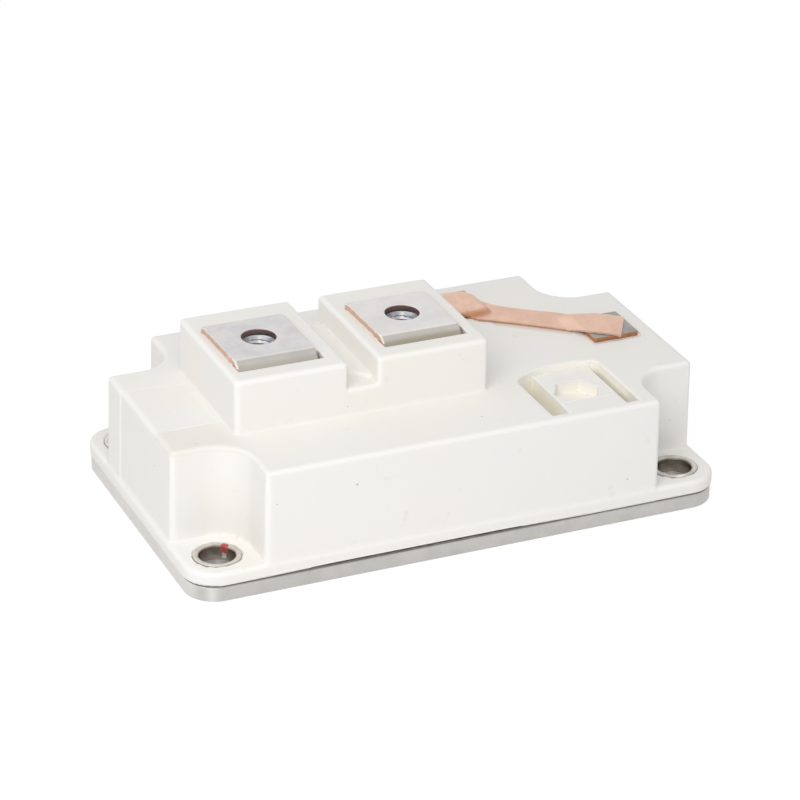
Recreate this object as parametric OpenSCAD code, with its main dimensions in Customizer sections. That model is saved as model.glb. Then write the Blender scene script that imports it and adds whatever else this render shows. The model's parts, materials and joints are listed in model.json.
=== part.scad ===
// Single-switch power semiconductor module: a moulded housing on a metal base
// plate, two M6 main terminals, three small terminal stations and the ceramic
// substrates, chips and wiring inside.  Millimetres, +Z up.  The origin is the
// centre of the base plate's underside; -Y is the side with the terminal bends.

/* [Base plate] */
// Length of the base plate
plate_l = 106.6; // [104:0.1:110]
// Width of the base plate
plate_w = 61.6; // [60:0.1:64]
// Thickness of the base plate
plate_t = 3; // [2.5:0.5:4]
// Radius of the base plate's corners
corner_r = 6; // [4:0.5:8]
// Distance from a screw hole's centre to the plate's edges
hole_inset = 6.8; // [6:0.1:7]
// Diameter of the screw holes
hole_d = 6.6; // [5.5:0.1:7]

/* [Housing] */
// Height of the deck above the underside
deck_z = 24.1; // [23:0.1:27]
// Height of the flange top above the underside
flange_z = 5.9; // [5.2:0.1:7]
// Wall thickness of the moulding
wall = 2.4; // [1.8:0.1:2.8]
// Radius of the corner recess that clears the screw head
recess_r = 7.1; // [6.5:0.1:7.5]
// Outer diameter of the steel sleeves
sleeve_d = 8.9; // [8.2:0.1:9.6]
// Radius of the outer edges
edge_r = 0.8; // [0.4:0.1:1]

/* [Terminal block] */
// Length of the raised block
block_l = 50.4; // [48:0.2:52]
// Width of the raised block
block_w = 29.4; // [27:0.2:32]
// Height of the block top above the underside
block_z = 34.7; // [33:0.1:37]
// Width of the groove between the two terminals
groove_w = 6; // [5:0.2:6.8]
// Depth of the groove
groove_d = 5.3; // [3:0.1:6]

/* [Main terminals] */
// Distance between the two main terminals
term_pitch = 28.8; // [28:0.1:29.4]
// Width of a main terminal
term_w = 15.8; // [13:0.2:16.4]
// Thickness of a main terminal
term_t = 1.1; // [1:0.1:1.6]
// Outer radius of the terminal bend
bend_r = 3.2; // [2.6:0.1:3.6]
// Diameter of the screw hole in a main terminal
term_hole = 6.5; // [6.4:0.1:7.4]

/* [Small terminals] */
// Width of a small terminal plate
aux_w = 9.4; // [9:0.1:10.4]
// Length of a small terminal plate
aux_l = 9.8; // [9:0.1:10.4]
// Thickness of a small terminal plate
aux_t = 1; // [0.6:0.1:1.2]
// Width of the copper shorting strap
strap_w = 8; // [6:0.2:9]

/* [Inside] */
// Distance from the plate's ends to the ceramic substrates
dcb_side = 18.3; // [17.8:0.1:19]
// Distance from the plate's long sides to the ceramic substrates
dcb_edge = 8.8; // [8:0.1:9.2]
// Side of a switch chip
chip = 12; // [10:0.5:12.5]
// Side of a diode chip
diode = 8; // [6:0.5:8.5]

/* [Hidden] */

$fn = 48;
eps = 0.01;

// Screw holes
hole_x = plate_l / 2 - hole_inset;
hole_y = plate_w / 2 - hole_inset;

// Housing
bead_t = 0.3;
housing_z = plate_t + bead_t;
flange_l = plate_l + 0.4;
flange_w = plate_w + 0.4;
flange_edge = 0.8;
body_l = plate_l - 1.3;
body_w = plate_w - 0.7;
body_r = 1.2;
roof = 2.6;
cavity_z = deck_z - roof;
recess_x = hole_x - recess_r;
recess_y = hole_y - recess_r;

// Terminal block: two heads either side of the groove, on one low block
mid_x = -14.25;
block_x = mid_x + 0.15;
block_y = 0;
groove_z = block_z - groove_d;
groove_step = 0.6;
head_left_x0 = block_x - block_l / 2;
head_left_x1 = mid_x - groove_w / 2;
head_right_x0 = mid_x + groove_w / 2;
head_right_x1 = block_x + block_l / 2;

// Main terminals
term_mid = -14.7;
term_y = -0.3;
term_back = 7.8;
term_fall = 7;
term_x = [term_mid - term_pitch / 2, term_mid + term_pitch / 2];
term_top = block_z + term_t;
leg_y = term_y - term_fall - bend_r;
slot_gap = 0.2;
slot_end = 0.9;
boss_r = 8.4;
nut_af = 10;
nut_h = 5.2;
nut_bore = 5;
nut_gap = 0.1;
nut_z = block_z - nut_h;
well_d = 7;
well_depth = 5;

// Inside stack: solder, copper, ceramic, copper, chips
solder_t = 0.2;
foil_t = 0.3;
ceramic_t = 0.6;
chip_t = 0.3;
foil_z = plate_t + solder_t;
ceramic_z = foil_z + foil_t;
track_z = ceramic_z + ceramic_t;
chip_z = track_z + foil_t;
dcb_gap = 4;
dcb_l = plate_l / 2 - dcb_side - dcb_gap / 2;
dcb_w = plate_w - 2 * dcb_edge;
dcb_x = [-dcb_gap / 2 - dcb_l / 2, dcb_gap / 2 + dcb_l / 2];
foil_in = 0.8;
collector_y0 = -dcb_w / 2 + 1;
collector_y1 = 9;
emitter_y0 = 10.2;
emitter_y1 = 17.6;
gate_y0 = 18.8;
gate_y1 = dcb_w / 2 - 1;
switch_y = 2.2;
diode_y = -15.6;
pair_dx = dcb_l / 4 + 0.4;

// Legs of the main terminals
foot_w = 4.2;
foot_l = 3;
collector_bar_z = 9;
collector_bar_h = 6;
emitter_bar_z = 18.4;
emitter_bar_y0 = 5;
emitter_bar_y1 = 14;

// Fitted small terminal stations: shallow seat, nut pocket, plate and leg
aux_z = deck_z - 0.2;
pocket_af = 8.1;
small_nut_af = 7;
small_nut_h = 3.2;
small_nut_bore = 3.3;
small_nut_z = aux_z - small_nut_h - 0.1;
aux_hole = 4.4;
aux_rim = 1.1;
aux_leg_w = 5;
aux_leg_z = 14;
small_well_d = 4.6;
small_well_depth = 2.2;
small_boss_r = 5.6;
small_boss_h = 6;
right_x = body_l / 2 - 8.85;
right_y = 1.5;
rear_x = 20.3;
rear_y = body_w / 2 - 9.45;

// Empty station: platform, nut pocket and a deep slot on either side
plat_z = deck_z - 1;
empty_pocket_d = 2.8;
empty_x = recess_x - 11.5;
empty_y = -18.2;
empty_x0 = recess_x - 17.8;
empty_x1 = recess_x - 6.2;
empty_y0 = -24.2;
empty_y1 = -10.6;
empty_corner = 3;
slot_left_x0 = recess_x - 21.6;
slot_right_x1 = recess_x - 3.7;
slot_y0 = 2.05 - body_w / 2;
slot_left_y1 = -11.6;
slot_right_y1 = -13.2;
slot_floor = 16.5;
slot_skin = 1.4;

// Shorting strap between the two fitted small terminals
strap_t = 0.3;
strap_run = sqrt(pow(right_x - rear_x, 2) + pow(right_y - rear_y, 2));
strap_turn = atan2(right_y - rear_y, right_x - rear_x);

// Gel over the wire loops, up to just under the deck's bosses
gel_z0 = 8.4;
gel_z1 = 16.5;
gel_gap = 0.15;

// Insulated wires
lead_r = 0.9;
bond_r = 0.2;
bond_foot = 1.4;
bond_sweep = 100;
wires_per_chip = 5;
lead_z = chip_z + lead_r;
lead_bend_z = 7.3;
lead_top_z = aux_leg_z + 2;
lead_y = aux_l / 2 - aux_t - lead_r;

// ---------------------------------------------------------------- helpers

// Rectangle with rounded corners, centred
module rounded_rect(l, w, r) {
    square([l - 2 * r, w], center = true);
    square([l, w - 2 * r], center = true);
    for (sx = [-1, 1], sy = [-1, 1])
        translate([sx * (l / 2 - r), sy * (w / 2 - r)]) circle(r = r);
}

// Profile that rounds an edge when it is cut away: x is out of the wall, y is up
module edge_profile(r) {
    difference() {
        translate([-r, -r]) square([r + 1, r + 1]);
        translate([-r, -r]) circle(r = r);
        translate([-r - 1, -r - 1]) square([1, r + 2.1]);
        translate([-r - 1, -r - 1]) square([r + 2.1, 1]);
    }
}

// Cutter that rounds a straight top edge: starts at the origin and runs along +X, with the
// wall's outside at -Y and the top at z = 0
module edge_cut(length, r) {
    rotate([90, 0, 90]) linear_extrude(length) mirror([1, 0]) edge_profile(r);
}

// Upright block with rounded upright edges (radius c) and a rounded top (radius r)
module soft_block(x0, x1, y0, y1, z0, z1, c, r) {
    l = x1 - x0;
    w = y1 - y0;
    translate([(x0 + x1) / 2, (y0 + y1) / 2, 0]) difference() {
        translate([0, 0, z0]) linear_extrude(z1 - z0) rounded_rect(l, w, c);
        translate([0, 0, z1]) for (s = [0, 1]) {
            mirror([0, s, 0]) translate([c - l / 2, -w / 2, 0]) edge_cut(l - 2 * c, r);
            mirror([s, 0, 0]) translate([-l / 2, w / 2 - c, 0]) rotate([0, 0, -90]) edge_cut(w - 2 * c, r);
            for (t = [0, 1]) mirror([s, 0, 0]) mirror([0, t, 0])
                translate([l / 2 - c, w / 2 - c, 0]) rotate_extrude(angle = 90)
                    translate([c, 0]) edge_profile(r);
        }
    }
}

// The four-fold symmetry of the corners
module each_corner() {
    for (sx = [0, 1], sy = [0, 1]) mirror([sx, 0, 0]) mirror([0, sy, 0]) children();
}

// Outline of one corner recess, grown by g
module recess_outline(g) {
    reach = 30;
    translate([hole_x, hole_y]) {
        circle(r = recess_r + g);
        translate([-recess_r - g, 0]) square([reach, reach]);
        translate([0, -recess_r - g]) square([reach, reach]);
    }
}

// Outline of the tall body, with walls set in by g
module body_outline(g) {
    difference() {
        rounded_rect(body_l - 2 * g, body_w - 2 * g, body_r);
        each_corner() recess_outline(g);
    }
}

// Hexagonal prism by its width across flats, with corners on the X axis
module hex_prism(af, h) {
    cylinder(d = af / cos(30), h = h, $fn = 6);
}

// Nut with turned chamfers and a tapping-size bore
module hex_nut(af, h, bore) {
    lead = 0.4;
    difference() {
        intersection() {
            hex_prism(af, h);
            union() {
                cylinder(d = af / cos(30), h = h - lead);
                translate([0, 0, h - lead - eps])
                    cylinder(d1 = af / cos(30), d2 = af * 0.98, h = lead + eps);
            }
        }
        translate([0, 0, -1]) cylinder(d = bore, h = h + 2);
        translate([0, 0, h - lead]) cylinder(d1 = bore, d2 = bore + 2 * lead + 0.2, h = lead + eps);
    }
}

// Round wire along a list of points, with balls at the bends
module wire_path(points, r, sides) {
    for (i = [0 : len(points) - 2]) {
        d = points[i + 1] - points[i];
        run = norm(d);
        translate(points[i])
            rotate([0, acos(d[2] / run), atan2(d[1], d[0])])
                cylinder(r = r, h = run, $fn = sides);
        if (i > 0) translate(points[i]) sphere(r = r, $fn = sides);
    }
}

// ---------------------------------------------------------------- base and housing

module base_plate() {
    color("lightgray") difference() {
        linear_extrude(plate_t) rounded_rect(plate_l, plate_w, corner_r);
        each_corner() translate([hole_x, hole_y, -1]) cylinder(d = hole_d, h = plate_t + 2);
    }
}

// Adhesive that seals the housing to the base plate
module seal_bead() {
    color("dimgray") translate([0, 0, plate_t]) linear_extrude(bead_t) difference() {
        rounded_rect(plate_l - 0.2, plate_w - 0.2, corner_r - 0.1);
        difference() {
            rounded_rect(body_l - 2 * wall, body_w - 2 * wall, body_r);
            each_corner() recess_outline(wall);
        }
        each_corner() translate([hole_x, hole_y]) circle(d = sleeve_d + 0.2);
    }
}

// Steel sleeve that takes the screw's load past the plastic
module sleeve(sx, sy) {
    color("silver") translate([sx * hole_x, sy * hole_y, plate_t]) difference() {
        cylinder(d = sleeve_d, h = flange_z - plate_t + 0.1);
        translate([0, 0, -1]) cylinder(d = hole_d, h = flange_z + 2);
    }
}

// Flange that covers the base plate, with a softened top edge
module flange() {
    soft_block(-flange_l / 2, flange_l / 2, -flange_w / 2, flange_w / 2, housing_z, flange_z,
        corner_r, flange_edge);
}

// Rounds every top edge of the tall body
module deck_edge_cuts() {
    translate([0, 0, deck_z]) {
        for (s = [0, 1]) mirror([0, s, 0])
            translate([-recess_x, -body_w / 2, 0]) edge_cut(2 * recess_x, edge_r);
        for (s = [0, 1]) mirror([s, 0, 0]) translate([-body_l / 2, 0, 0]) rotate([0, 0, -90])
            translate([-recess_y, 0, 0]) edge_cut(2 * recess_y, edge_r);
        each_corner() {
            translate([recess_x, hole_y, 0]) rotate([0, 0, 90]) edge_cut(10, edge_r);
            translate([hole_x + 10, recess_y, 0]) rotate([0, 0, 180]) edge_cut(10, edge_r);
            translate([hole_x, hole_y, 0]) rotate([0, 0, 180]) rotate_extrude(angle = 90)
                translate([recess_r, 0]) mirror([1, 0]) edge_profile(edge_r);
        }
    }
}

// Hollow of the body, open at the bottom
module cavity() {
    translate([0, 0, housing_z - 1]) linear_extrude(cavity_z - housing_z + 1) body_outline(wall);
}

// Hollow inside the terminal block, round the two nut bosses
module block_core() {
    low_top = groove_z - wall;
    high_top = block_z - wall;
    y0 = block_y - block_w / 2 + wall;
    inner_w = block_w - 2 * wall;
    difference() {
        union() {
            translate([head_left_x0 + wall, y0, cavity_z - eps])
                cube([block_l - 2 * wall, inner_w, low_top - cavity_z + eps]);
            for (h = [[head_left_x0, head_left_x1], [head_right_x0, head_right_x1]])
                translate([h[0] + wall, y0, cavity_z - eps])
                    cube([h[1] - h[0] - 2 * wall, inner_w, high_top - cavity_z + eps]);
        }
        for (x = term_x) {
            translate([x, term_y, 0]) cylinder(r = boss_r, h = block_z);
            translate([x - term_w / 2 - 2, y0 - eps, 0]) cube([term_w + 4, term_y - y0, block_z]);
        }
    }
}

// Slot for a main terminal's leg, nut pocket and blind screw well
module terminal_cuts(x) {
    translate([x - term_w / 2 - slot_gap, leg_y - slot_gap, cavity_z - 1])
        cube([term_w + slot_gap + slot_end, term_t + 2 * slot_gap, block_z]);
    translate([x - term_w / 2 - slot_gap, leg_y - slot_gap, block_z - bend_r])
        cube([term_w + slot_gap + slot_end, bend_r + slot_gap, block_z]);
    translate([x, term_y, nut_z - nut_gap]) hex_prism(nut_af + 0.2, block_z);
    translate([x, term_y, nut_z - well_depth]) cylinder(d = well_d, h = block_z);
}

// Boss under the deck that holds a small nut
module station_boss(x, y) {
    translate([x, y, cavity_z + 1 - small_boss_h]) cylinder(r = small_boss_r, h = small_boss_h);
}

// Seat, nut pocket, screw well and leg slot of a fitted small terminal
module station_cuts(x, y) {
    translate([x, y, aux_z]) linear_extrude(5)
        rounded_rect(aux_w + 2 * aux_rim, aux_l + 2 * aux_rim, 0.6);
    translate([x, y, small_nut_z]) hex_prism(pocket_af, 10);
    translate([x, y, small_nut_z - small_well_depth]) cylinder(d = small_well_d, h = 10);
    translate([x - aux_leg_w / 2 - slot_gap, y + aux_l / 2 - aux_t - slot_gap, 0])
        cube([aux_leg_w + 2 * slot_gap, aux_t + 2 * slot_gap, 40]);
}

// Outlines of the two deep slots, grown by g
module slot_outlines(g) {
    translate([slot_left_x0 - g, slot_y0 - g])
        square([empty_x0 - slot_left_x0 + 2 * g, slot_left_y1 - slot_y0 + 2 * g]);
    polygon([[empty_x1 - g, slot_y0 - g], [slot_right_x1 + g, slot_y0 - g],
        [slot_right_x1 + g, slot_right_y1 + g], [slot_right_x1 - 0.8 - g, slot_right_y1 + g],
        [empty_x1 - g, slot_right_y1 - 5 + g]]);
}

// Tubs under the deck round the two blind slots
module slot_tubs() {
    translate([0, 0, slot_floor - slot_skin]) linear_extrude(cavity_z - slot_floor + slot_skin + 1)
        slot_outlines(slot_skin);
}

// Empty station: platform with one rounded corner, shallow nut pocket and the deep slots
module empty_station_cuts() {
    translate([0, 0, plat_z]) linear_extrude(5) {
        translate([slot_left_x0, empty_y0])
            square([slot_right_x1 - empty_corner - slot_left_x0, empty_y1 - empty_y0]);
        translate([slot_left_x0, empty_y0])
            square([slot_right_x1 - slot_left_x0, empty_y1 - empty_corner - empty_y0]);
        translate([slot_right_x1 - empty_corner, empty_y1 - empty_corner]) circle(r = empty_corner);
    }
    translate([0, 0, slot_floor]) linear_extrude(20) slot_outlines(0);
    translate([empty_x, empty_y, plat_z - empty_pocket_d]) hex_prism(pocket_af, 10);
}

// Low pad on the floor of the groove, with a slanting front edge
module groove_pad() {
    front = -7.3;
    slant = 3.6;
    translate([0, 0, groove_z - eps]) linear_extrude(groove_step + eps) polygon([
        [head_left_x1, front + slant], [head_right_x0, front - slant],
        [head_right_x0, block_y + block_w / 2 - 1], [head_left_x1, block_y + block_w / 2 - 1]]);
}

// Flange and body as one, with every room below the deck's top
module shell() {
    difference() {
        union() {
            difference() {
                union() {
                    flange();
                    translate([0, 0, housing_z]) linear_extrude(deck_z - housing_z) body_outline(0);
                }
                deck_edge_cuts();
                cavity();
            }
            station_boss(right_x, right_y);
            station_boss(rear_x, rear_y);
            station_boss(empty_x, empty_y);
            slot_tubs();
        }
        block_core();
        for (x = term_x) terminal_cuts(x);
        station_cuts(right_x, right_y);
        station_cuts(rear_x, rear_y);
        empty_station_cuts();
        each_corner() translate([hole_x, hole_y, 0]) cylinder(d = sleeve_d, h = flange_z + 1);
    }
}

// Everything under the flange's top
module under_flange() {
    translate([-plate_l, -plate_w, 0]) cube([2 * plate_l, 2 * plate_w, flange_z]);
}

module housing_flange() {
    color("ivory") intersection() {
        shell();
        under_flange();
    }
}

module housing() {
    color("ivory") difference() {
        shell();
        under_flange();
    }
}

// Raised block on the deck, with a head for each main terminal
module terminal_block() {
    y0 = block_y - block_w / 2;
    y1 = block_y + block_w / 2;
    color("ivory") difference() {
        union() {
            difference() {
                union() {
                    soft_block(head_left_x0, head_right_x1, y0, y1, deck_z, groove_z + edge_r,
                        body_r, edge_r);
                    soft_block(head_left_x0, head_left_x1, y0, y1, deck_z, block_z, body_r, edge_r);
                    soft_block(head_right_x0, head_right_x1, y0, y1, deck_z, block_z, body_r, edge_r);
                }
                translate([head_left_x1, block_y - block_w, groove_z])
                    cube([groove_w, 2 * block_w, groove_d + 5]);
            }
            groove_pad();
        }
        block_core();
        for (x = term_x) terminal_cuts(x);
    }
}

// ---------------------------------------------------------------- main terminals

// Flat, bend and upper leg shared by both main terminals
module terminal_head(x, leg_bottom) {
    translate([x, 0, 0]) {
        difference() {
            translate([-term_w / 2, term_y - term_fall, block_z])
                cube([term_w, term_fall + term_back, term_t]);
            translate([0, term_y, block_z - 1]) cylinder(d = term_hole, h = term_t + 2);
        }
        translate([0, leg_y + bend_r, term_top - bend_r]) rotate([90, 0, -90])
            translate([0, 0, -term_w / 2]) rotate_extrude(angle = 90)
                translate([bend_r - term_t, 0]) square([term_t, term_w]);
        translate([-term_w / 2, leg_y, leg_bottom])
            cube([term_w, term_t, term_top - bend_r - leg_bottom]);
    }
}

// Leg from a bus bar down to a foot on the substrate
module foot(x, y, top, toe) {
    translate([x - foot_w / 2, y, chip_z]) cube([foot_w, term_t, top - chip_z]);
    translate([x - foot_w / 2, y - (toe < 0 ? foot_l : 0), chip_z])
        cube([foot_w, foot_l + term_t, term_t / 2]);
}

module collector_terminal() {
    color("silver") {
        terminal_head(term_x[1], collector_bar_z);
        translate([dcb_x[0] - foot_w / 2, leg_y, collector_bar_z])
            cube([dcb_x[1] - dcb_x[0] + foot_w, term_t, collector_bar_h]);
        for (x = dcb_x) foot(x, leg_y, collector_bar_z + 1, 1);
    }
}

module emitter_terminal() {
    color("silver") {
        terminal_head(term_x[0], emitter_bar_z);
        translate([term_x[0] - term_w / 2, leg_y, emitter_bar_z])
            cube([term_w, emitter_bar_y1 - leg_y, term_t]);
        translate([term_x[0] - term_w / 2, emitter_bar_y0, emitter_bar_z])
            cube([dcb_x[1] + foot_w / 2 - term_x[0] + term_w / 2, emitter_bar_y1 - emitter_bar_y0, term_t]);
        for (x = dcb_x) foot(x, emitter_bar_y1 - term_t, emitter_bar_z + 1, 1);
    }
}

module main_nut(x) {
    color("lightsteelblue") translate([x, term_y, nut_z - nut_gap]) hex_nut(nut_af, nut_h, nut_bore);
}

// ---------------------------------------------------------------- small terminals

module small_terminal(x, y) {
    color("gray") translate([x, y, 0]) {
        difference() {
            translate([-aux_w / 2, -aux_l / 2, aux_z]) cube([aux_w, aux_l, aux_t]);
            translate([0, 0, aux_z - 1]) cylinder(d = aux_hole, h = aux_t + 2);
        }
        translate([-aux_leg_w / 2, aux_l / 2 - aux_t, aux_leg_z])
            cube([aux_leg_w, aux_t, aux_z - aux_leg_z + eps]);
    }
}

module small_nut(x, y) {
    color("lightsteelblue") translate([x, y, small_nut_z])
        hex_nut(small_nut_af, small_nut_h, small_nut_bore);
}

// Copper strap that keeps gate and sense terminals at one potential in storage
module shorting_strap() {
    top = aux_z + aux_t;
    low = deck_z + 0.1;
    start = -2.6;
    stop = strap_run + 3.6;
    reach = (aux_w * abs(cos(strap_turn)) + aux_l * abs(sin(strap_turn))) / 2 + 0.2;
    ramp = 1.6;
    rise = strap_run - reach;
    color("coral") translate([rear_x, rear_y, 0]) rotate([0, 0, strap_turn])
        rotate([90, 0, 0]) translate([0, 0, -strap_w / 2]) linear_extrude(strap_w) polygon([
            [start, top], [reach, top], [reach + ramp, low], [rise - ramp, low],
            [rise, top], [stop, top], [stop, top + strap_t], [rise - 0.1, top + strap_t],
            [rise - ramp - 0.1, low + strap_t], [reach + 0.1 + ramp, low + strap_t],
            [reach + 0.1, top + strap_t], [start, top + strap_t]]);
}

// ---------------------------------------------------------------- substrates and chips

module solder(i) {
    color("darkgray") translate([dcb_x[i], 0, plate_t]) linear_extrude(solder_t)
        square([dcb_l - 2 * foil_in, dcb_w - 2 * foil_in], center = true);
}

module lower_copper(i) {
    color("peru") translate([dcb_x[i], 0, foil_z]) linear_extrude(foil_t)
        square([dcb_l - 2 * foil_in, dcb_w - 2 * foil_in], center = true);
}

module ceramic(i) {
    color("white") translate([dcb_x[i], 0, ceramic_z]) linear_extrude(ceramic_t)
        square([dcb_l, dcb_w], center = true);
}

// One etched area of the upper copper
module track(i, y0, y1) {
    color("peru") translate([dcb_x[i] - dcb_l / 2 + foil_in, y0, track_z])
        cube([dcb_l - 2 * foil_in, y1 - y0, foil_t]);
}

module switch_chip(i, side) {
    color("slategray") translate([dcb_x[i] + side * pair_dx - chip / 2, switch_y - chip / 2, chip_z])
        cube([chip, chip, chip_t]);
}

module diode_chip(i, side) {
    color("slategray") translate([dcb_x[i] + side * pair_dx - diode / 2, diode_y - diode / 2, chip_z])
        cube([diode, diode, chip_t]);
}

// Bond loop along Y between two flattened feet: an arc of round wire
module bond_loop(x, y0, z0, y1, z1) {
    half = (y1 - y0) / 2;
    bow = half / sin(bond_sweep / 2);
    translate([x, (y0 + y1) / 2, max(z0, z1) + bond_r - bow * cos(bond_sweep / 2)])
        rotate([90, 0, 90]) rotate([0, 0, 90 - bond_sweep / 2]) rotate_extrude(angle = bond_sweep)
            translate([bow, 0]) circle(r = bond_r, $fn = 16);
    for (end = [[y0, z0], [y1, z1]])
        translate([x - bond_r, end[0] - bond_foot / 2, end[1]])
            cube([2 * bond_r, bond_foot, max(z0, z1) - end[1] + bond_r]);
}

// Bond wires of one substrate: diode to switch chip, switch chip to emitter, one gate wire each
module bond_wires(i) {
    chip_top = chip_z + chip_t;
    pitch = diode / wires_per_chip;
    color("gainsboro") for (side = [-1, 1]) {
        x0 = dcb_x[i] + side * pair_dx;
        for (k = [0 : wires_per_chip - 1]) {
            x = x0 + (k - (wires_per_chip - 1) / 2) * pitch;
            bond_loop(x, diode_y, chip_top, switch_y - chip / 2 + 1.5, chip_top);
            bond_loop(x, switch_y + 1, chip_top, emitter_y0 + 3, chip_z);
        }
        bond_loop(x0 + side * (chip / 2 - 0.8), switch_y + chip / 2 - 1, chip_top, gate_y0 + 1, chip_z);
    }
}

// Insulated wire from a small terminal's leg to a copper area
module gate_wire() {
    y = right_y + lead_y;
    end_x = dcb_x[1] + dcb_l / 2;
    color("firebrick") wire_path([[right_x, y, lead_top_z], [right_x, y, lead_bend_z],
        [end_x - 3.5, gate_y1 + 0.5, lead_bend_z], [end_x - 7, gate_y0 + 1.1, lead_z]], lead_r, 12);
}

module sense_wire() {
    color("white") wire_path([[rear_x, rear_y + lead_y, lead_top_z], [rear_x - 2, rear_y + 1, 10],
        [rear_x - 6, emitter_y1, 7.5], [rear_x - 7, emitter_y1 - 2, lead_z]], lead_r, 12);
}

// Soft gel over the wire loops; it stays clear of every lead that passes through it
module silicone_gel() {
    g = gel_gap;
    color("whitesmoke") difference() {
        translate([0, 0, gel_z0]) linear_extrude(gel_z1 - gel_z0) body_outline(wall);
        translate([dcb_x[0] - foot_w / 2 - g, leg_y - g, 0])
            cube([dcb_x[1] - dcb_x[0] + foot_w + 2 * g, term_t + 2 * g, 30]);
        for (x = dcb_x) translate([x - foot_w / 2 - g, emitter_bar_y1 - term_t - g, 0])
            cube([foot_w + 2 * g, term_t + 2 * g, 30]);
        translate([0, 0, slot_floor - slot_skin]) linear_extrude(20) slot_outlines(slot_skin);
        translate([right_x - 3, right_y + 0.6, 0]) cube([6, aux_l / 2, 30]);
        translate([rear_x - 9, rear_y - 6, 0]) cube([12, 11.4, 30]);
    }
}

// ---------------------------------------------------------------- nodes

base_plate();
seal_bead();
housing_flange();
housing();
terminal_block();
sleeve(-1, -1);  // sleeve_front_left
sleeve(1, -1);  // sleeve_front_right
sleeve(-1, 1);  // sleeve_rear_left
sleeve(1, 1);  // sleeve_rear_right
emitter_terminal();
collector_terminal();
main_nut(term_x[0]);  // main_nut_left
main_nut(term_x[1]);  // main_nut_right
small_terminal(right_x, right_y);  // gate_terminal
small_terminal(rear_x, rear_y);  // sense_terminal
small_nut(right_x, right_y);  // small_nut_right
small_nut(rear_x, rear_y);  // small_nut_rear
shorting_strap();
gate_wire();
sense_wire();
silicone_gel();
solder(0);  // solder_left
solder(1);  // solder_right
lower_copper(0);  // lower_copper_left
lower_copper(1);  // lower_copper_right
ceramic(0);  // ceramic_left
ceramic(1);  // ceramic_right
track(0, collector_y0, collector_y1);  // collector_copper_left
track(1, collector_y0, collector_y1);  // collector_copper_right
track(0, emitter_y0, emitter_y1);  // emitter_copper_left
track(1, emitter_y0, emitter_y1);  // emitter_copper_right
track(0, gate_y0, gate_y1);  // gate_copper_left
track(1, gate_y0, gate_y1);  // gate_copper_right
switch_chip(0, -1);  // switch_chip_1
switch_chip(0, 1);  // switch_chip_2
switch_chip(1, -1);  // switch_chip_3
switch_chip(1, 1);  // switch_chip_4
diode_chip(0, -1);  // diode_chip_1
diode_chip(0, 1);  // diode_chip_2
diode_chip(1, -1);  // diode_chip_3
diode_chip(1, 1);  // diode_chip_4
bond_wires(0);  // bond_wires_left
bond_wires(1);  // bond_wires_right
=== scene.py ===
# %% [markdown]
# # A single-switch power module, dressed
# The real object is a moulded plastic housing glued to a nickel plated copper base, with two
# bent copper terminals over captive nuts and a foil strap that shorts the two small terminals
# for storage.  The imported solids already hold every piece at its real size.  This script gives
# them the look: soft moulded edges, sheared metal edges, threads, foil and surface finishes.

# %% Load the frame
import json

import bpy
import numpy as np
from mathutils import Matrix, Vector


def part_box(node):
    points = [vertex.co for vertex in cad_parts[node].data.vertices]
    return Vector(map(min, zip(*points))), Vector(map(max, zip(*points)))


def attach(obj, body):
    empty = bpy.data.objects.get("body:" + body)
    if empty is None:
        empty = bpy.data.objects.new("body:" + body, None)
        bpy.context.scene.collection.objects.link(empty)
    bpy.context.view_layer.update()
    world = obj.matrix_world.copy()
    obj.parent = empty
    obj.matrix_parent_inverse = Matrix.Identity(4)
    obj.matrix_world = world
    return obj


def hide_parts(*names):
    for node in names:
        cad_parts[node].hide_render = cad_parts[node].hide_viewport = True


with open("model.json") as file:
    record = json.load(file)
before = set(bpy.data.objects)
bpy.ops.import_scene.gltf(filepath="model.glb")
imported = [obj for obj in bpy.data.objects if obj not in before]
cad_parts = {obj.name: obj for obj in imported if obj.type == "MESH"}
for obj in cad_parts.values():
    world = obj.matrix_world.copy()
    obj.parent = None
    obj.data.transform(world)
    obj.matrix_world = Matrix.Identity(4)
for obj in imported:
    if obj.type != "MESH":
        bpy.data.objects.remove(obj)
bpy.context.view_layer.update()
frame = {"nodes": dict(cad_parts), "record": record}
nodes = frame["nodes"]
MM = 0.001

# %% [markdown]
# ## Camera
# A long lens from the front left and a little above keeps the long edges almost parallel.  The
# camera is set by turning and tilting about the object and rolling a little about its own line
# of sight, which is easier to read and to change than a matrix of numbers.

# %% Camera
CAMERA_TURN = -24.36
CAMERA_RISE = 26.65
CAMERA_ROLL = 1.33
CAMERA_AWAY = 632.9
CAMERA_ACROSS = 0.2
CAMERA_UP = 15.42
CAMERA_LENS = 148.3


def camera_pose(turn, rise, roll, away, across, up):
    """4x4 pose in metres: back points from the object to the lens, right and over are level
    and upright directions turned by the roll, and the lens sits at away along back, moved by
    across and up in the picture plane."""
    a, e, r = np.radians([turn, rise, roll])
    back = np.array([np.sin(a) * np.cos(e), -np.cos(a) * np.cos(e), np.sin(e)])
    level = np.array([np.cos(a), np.sin(a), 0.0])
    upright = np.cross(back, level)
    right = np.cos(r) * level + np.sin(r) * upright
    over = np.cos(r) * upright - np.sin(r) * level
    pose = np.eye(4)
    pose[:3, 0], pose[:3, 1], pose[:3, 2] = right, over, back
    pose[:3, 3] = (back * away + right * across + over * up) * MM
    return pose


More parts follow.
